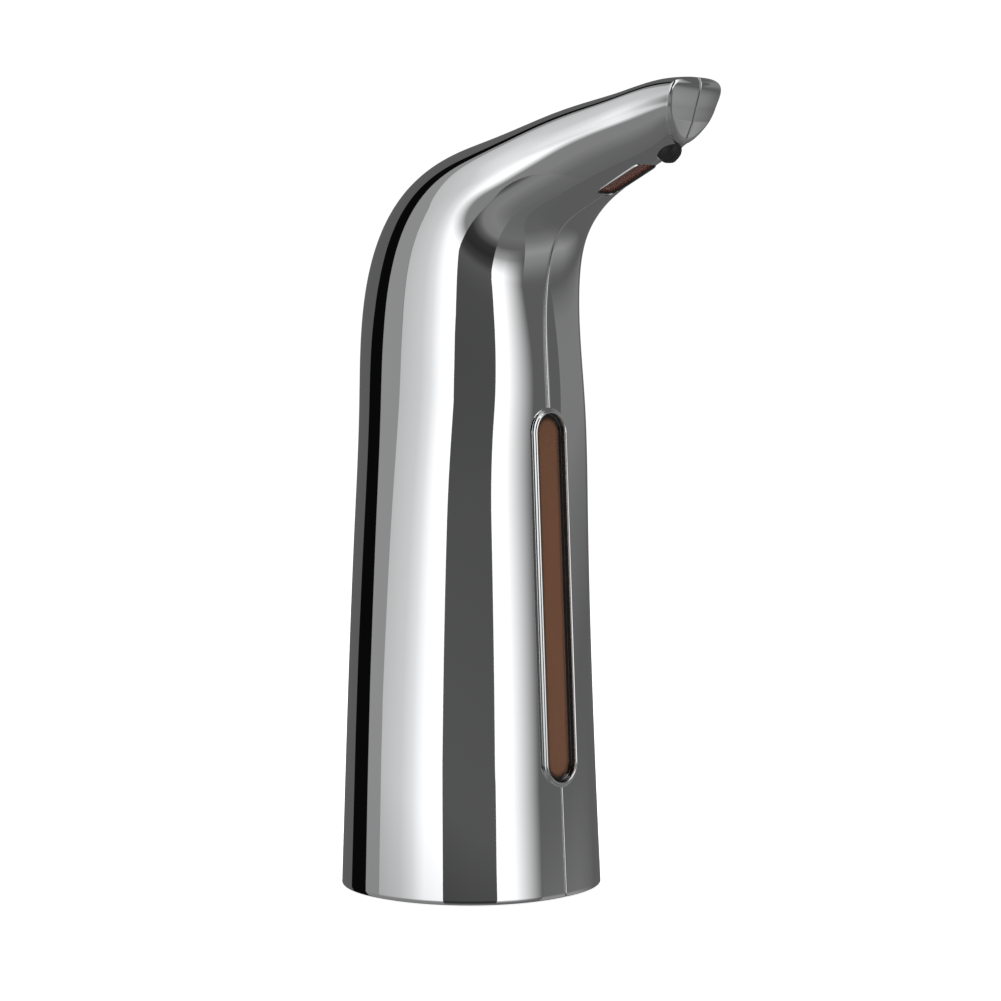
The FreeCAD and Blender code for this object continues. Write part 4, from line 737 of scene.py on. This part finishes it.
def dome_card(name, start, end, low, high, look, lean_start=0.0, lean_end=0.0,
              swing_start=TENT_SWING, swing_end=TENT_SWING):
    """A camera-invisible patch of a dome, in degrees from the camera's side and in elevation.

    Its two upright edges swing sideways a little above the level, and above LEAN_FROM degrees they
    lean by lean_start and lean_end degrees."""
    vertices, faces, corners = [], [], []
    for up in range(DOME_ROWS + 1):
        elevation = low + (high - low) * up / DOME_ROWS
        leaning = min(1.0, max(0.0, (elevation - LEAN_FROM) / (LEAN_TO - LEAN_FROM)))
        swung = min(1.0, max(0.0, (elevation - SWING_FROM) / (SWING_TO - SWING_FROM)))
        left = start + swing_start * swung + lean_start * leaning
        right = end + swing_end * swung + lean_end * leaning
        for step in range(DOME_COLUMNS + 1):
            part = step / DOME_COLUMNS
            angle = math.radians(left + (right - left) * part + CAMERA_SIDE - 90)
            ring = DOME_RADIUS * math.cos(math.radians(elevation))
            vertices.append((ring * math.cos(angle), ring * math.sin(angle),
                             DOME_HEIGHT + DOME_RADIUS * math.sin(math.radians(elevation))))
            corners.append((part, (elevation + 90) / 180))
    row = DOME_COLUMNS + 1
    for up in range(DOME_ROWS):
        for step in range(DOME_COLUMNS):
            first = up * row + step
            faces.append((first, first + 1, first + row + 1, first + row))
    card = new_object(name, vertices, faces, [look])
    layer = card.data.uv_layers.new(name="across")
    for loop in card.data.loops:
        layer.data[loop.index].uv = corners[loop.vertex_index]
    card.visible_camera = False
    card.visible_shadow = False
    return card


# Brightness by elevation in degrees: the grey floor light under the side cards, the rise from it to
# the full card, and the rest of the room.
LOW_GREY = ((-90, 0.13), (-60, 0.15), (-38, 0.24), (-18, 0.24), (-8.5, 0.0), (90, 0.0))
RISE = ((-90, 0), (-18, 0), (-8.5, 1), (90, 1))
NO_STRIPE, FLAT = ((0, 0), (1, 0)), ((-90, 1), (90, 1))
AIR = 0.115

# Brightness across the cards, from their start edge to their end edge.
LEFT_WHITE = ((0.0, 1.25), (0.28, 1.2), (0.38, 1.04), (0.48, 0.85), (0.66, 0.67), (1.0, 0.557))
LEFT_GREY = ((0, 0.30), (1, 0.30))
LEFT_BLACK = ((0, 0.003), (1, 0.003))
RIGHT_WHITE = ((0, 1.25), (0.40, 1.17), (1.0, 0.11))
RIGHT_LOW = ((0, 1), (0.55, 1), (1, 0))

CAMERA_SIDE_UNDER = (
    (-90, 0.13), (-62, 0.16), (-44, 0.235), (-34, 0.215), (-29, 0.11), (-23, 0.035), (-16, 0.026),
    (-11, 0.05), (-7.5, 0.10), (0, 0.078), (8, 0.074), (16, 0.036), (24, 0.006), (90, 0.006))
RIGHT_WHITE_RISE = ((-90, 0), (-26, 0), (-17, 0.25), (-9, 1), (90, 1))
RIGHT_WHITE_UNDER = ((-90, 0.13), (-60, 0.15), (-38, 0.17), (-24, 0.12), (-9, 0.0), (90, 0))
RIGHT_LOW_RISE = ((-90, 0), (-50, 0.02), (-34, 0.09), (-22, 0.20), (-14, 0.12), (-8, 0.01), (-6, 0))
RIGHT_FAR_UNDER = ((-90, AIR), (-6, AIR), (0, 0.21), (12, 0.235), (40, AIR), (90, AIR))

dome_card("left_white_card", -26.0, -88, -85, 78, emitter("left_white_card", LEFT_WHITE, RISE, LOW_GREY),
          lean_end=-14, swing_start=9)
dome_card("left_grey_card", -88, -105, -85, 60, emitter("left_grey_card", LEFT_GREY, RISE, LOW_GREY),
          lean_start=-14, lean_end=-12)
dome_card("left_black_card", -105, -131, -40, 60, emitter("left_black_card", LEFT_BLACK),
          lean_start=-12, lean_end=-20, swing_end=15)
dome_card("camera_side_card", -26.0, 25, -85, 89,
          emitter("camera_side_card", NO_STRIPE, FLAT, CAMERA_SIDE_UNDER), swing_start=9, swing_end=17)
dome_card("right_white_card", 25, 71, -85, 78,
          emitter("right_white_card", RIGHT_WHITE, RIGHT_WHITE_RISE, RIGHT_WHITE_UNDER),
          swing_start=17, swing_end=19)
dome_card("right_low_card", 71, 140, -85, -6,
          emitter("right_low_card", RIGHT_LOW, RIGHT_LOW_RISE, ((-90, AIR), (90, AIR))))
dome_card("right_far_card", 95, 150, -6, 45,
          emitter("right_far_card", NO_STRIPE, FLAT, RIGHT_FAR_UNDER))

world = bpy.data.worlds.new("studio_air")
world.use_nodes = True
world.node_tree.nodes["Background"].inputs["Color"].default_value = (AIR, AIR, AIR * 1.01, 1)
scene.world = world


STUDIO_RADIUS, STUDIO_STEPS = 3.5, 64


def floor_mesh():
    """Vertices and the one face of a round flat floor."""
    turns = [2 * math.pi * k / STUDIO_STEPS for k in range(STUDIO_STEPS)]
    ring = [(STUDIO_RADIUS * math.cos(turn), STUDIO_RADIUS * math.sin(turn), 0) for turn in turns]
    return ring, [tuple(range(STUDIO_STEPS))]


floor_look = node_look("pale_floor", (0.93, 0.93, 0.93), 0.7, vary=0.01, bump=0.02, grain=200)
floor_shader = floor_look.node_tree.nodes["Principled BSDF"]
floor_shader.inputs["Emission Color"].default_value = (1, 1, 1, 1)
floor_shader.inputs["Emission Strength"].default_value = 0.92
floor = new_object("pale_floor", *floor_mesh(), [floor_look])
floor.visible_glossy = False

backdrop_profile = ((STUDIO_RADIUS, -0.6), (STUDIO_RADIUS, 4.0), (0.01, 4.0))
backdrop_vertices, backdrop_faces = lathe(backdrop_profile, STUDIO_STEPS)
backdrop_look = emitter("backdrop_white", ((0.0, 1.02), (1.0, 1.02)))
backdrop = new_object("backdrop", backdrop_vertices, backdrop_faces, [backdrop_look])
backdrop.visible_glossy = False
backdrop.visible_diffuse = False
backdrop.visible_transmission = False
backdrop.visible_shadow = False

top_light = bpy.data.lights.new("overhead_softbox", "AREA")
top_light.shape = "DISK"
top_light.size = 1.2
top_light.energy = 14
top = bpy.data.objects.new("overhead_softbox", top_light)
top.location = (-0.3, -0.3, 1.6)
top.rotation_euler = (Vector((0, 0, 0)) - top.location).to_track_quat("-Z", "Y").to_euler()
top.visible_glossy = False
top.visible_camera = False
scene.collection.objects.link(top)


# ---------------------------------------------------------------- camera

CAMERA_DISTANCE, CAMERA_HEIGHT = 900.0, 172.05
CAMERA_YAW, CAMERA_PITCH = -0.0099, math.radians(-3.39)
SENSOR, FOCAL_PER_WIDTH = 36.0, 2927 / 1001
camera_data = bpy.data.cameras.new("photo_camera")
camera_data.sensor_width = SENSOR
camera_data.lens = SENSOR * FOCAL_PER_WIDTH
camera_data.clip_start, camera_data.clip_end = 0.05, 50
camera = bpy.data.objects.new("photo_camera", camera_data)
side = math.radians(CAMERA_SIDE)
camera.location = Vector((CAMERA_DISTANCE * math.sin(side), -CAMERA_DISTANCE * math.cos(side),
                          CAMERA_HEIGHT)) * MM
aim = side + CAMERA_YAW
level = math.cos(CAMERA_PITCH)
direction = Vector((-math.sin(aim) * level, math.cos(aim) * level, math.sin(CAMERA_PITCH)))
camera.rotation_euler = direction.to_track_quat("-Z", "Y").to_euler()
scene.collection.objects.link(camera)
scene.camera = camera
scene.view_settings.view_transform = "Standard"
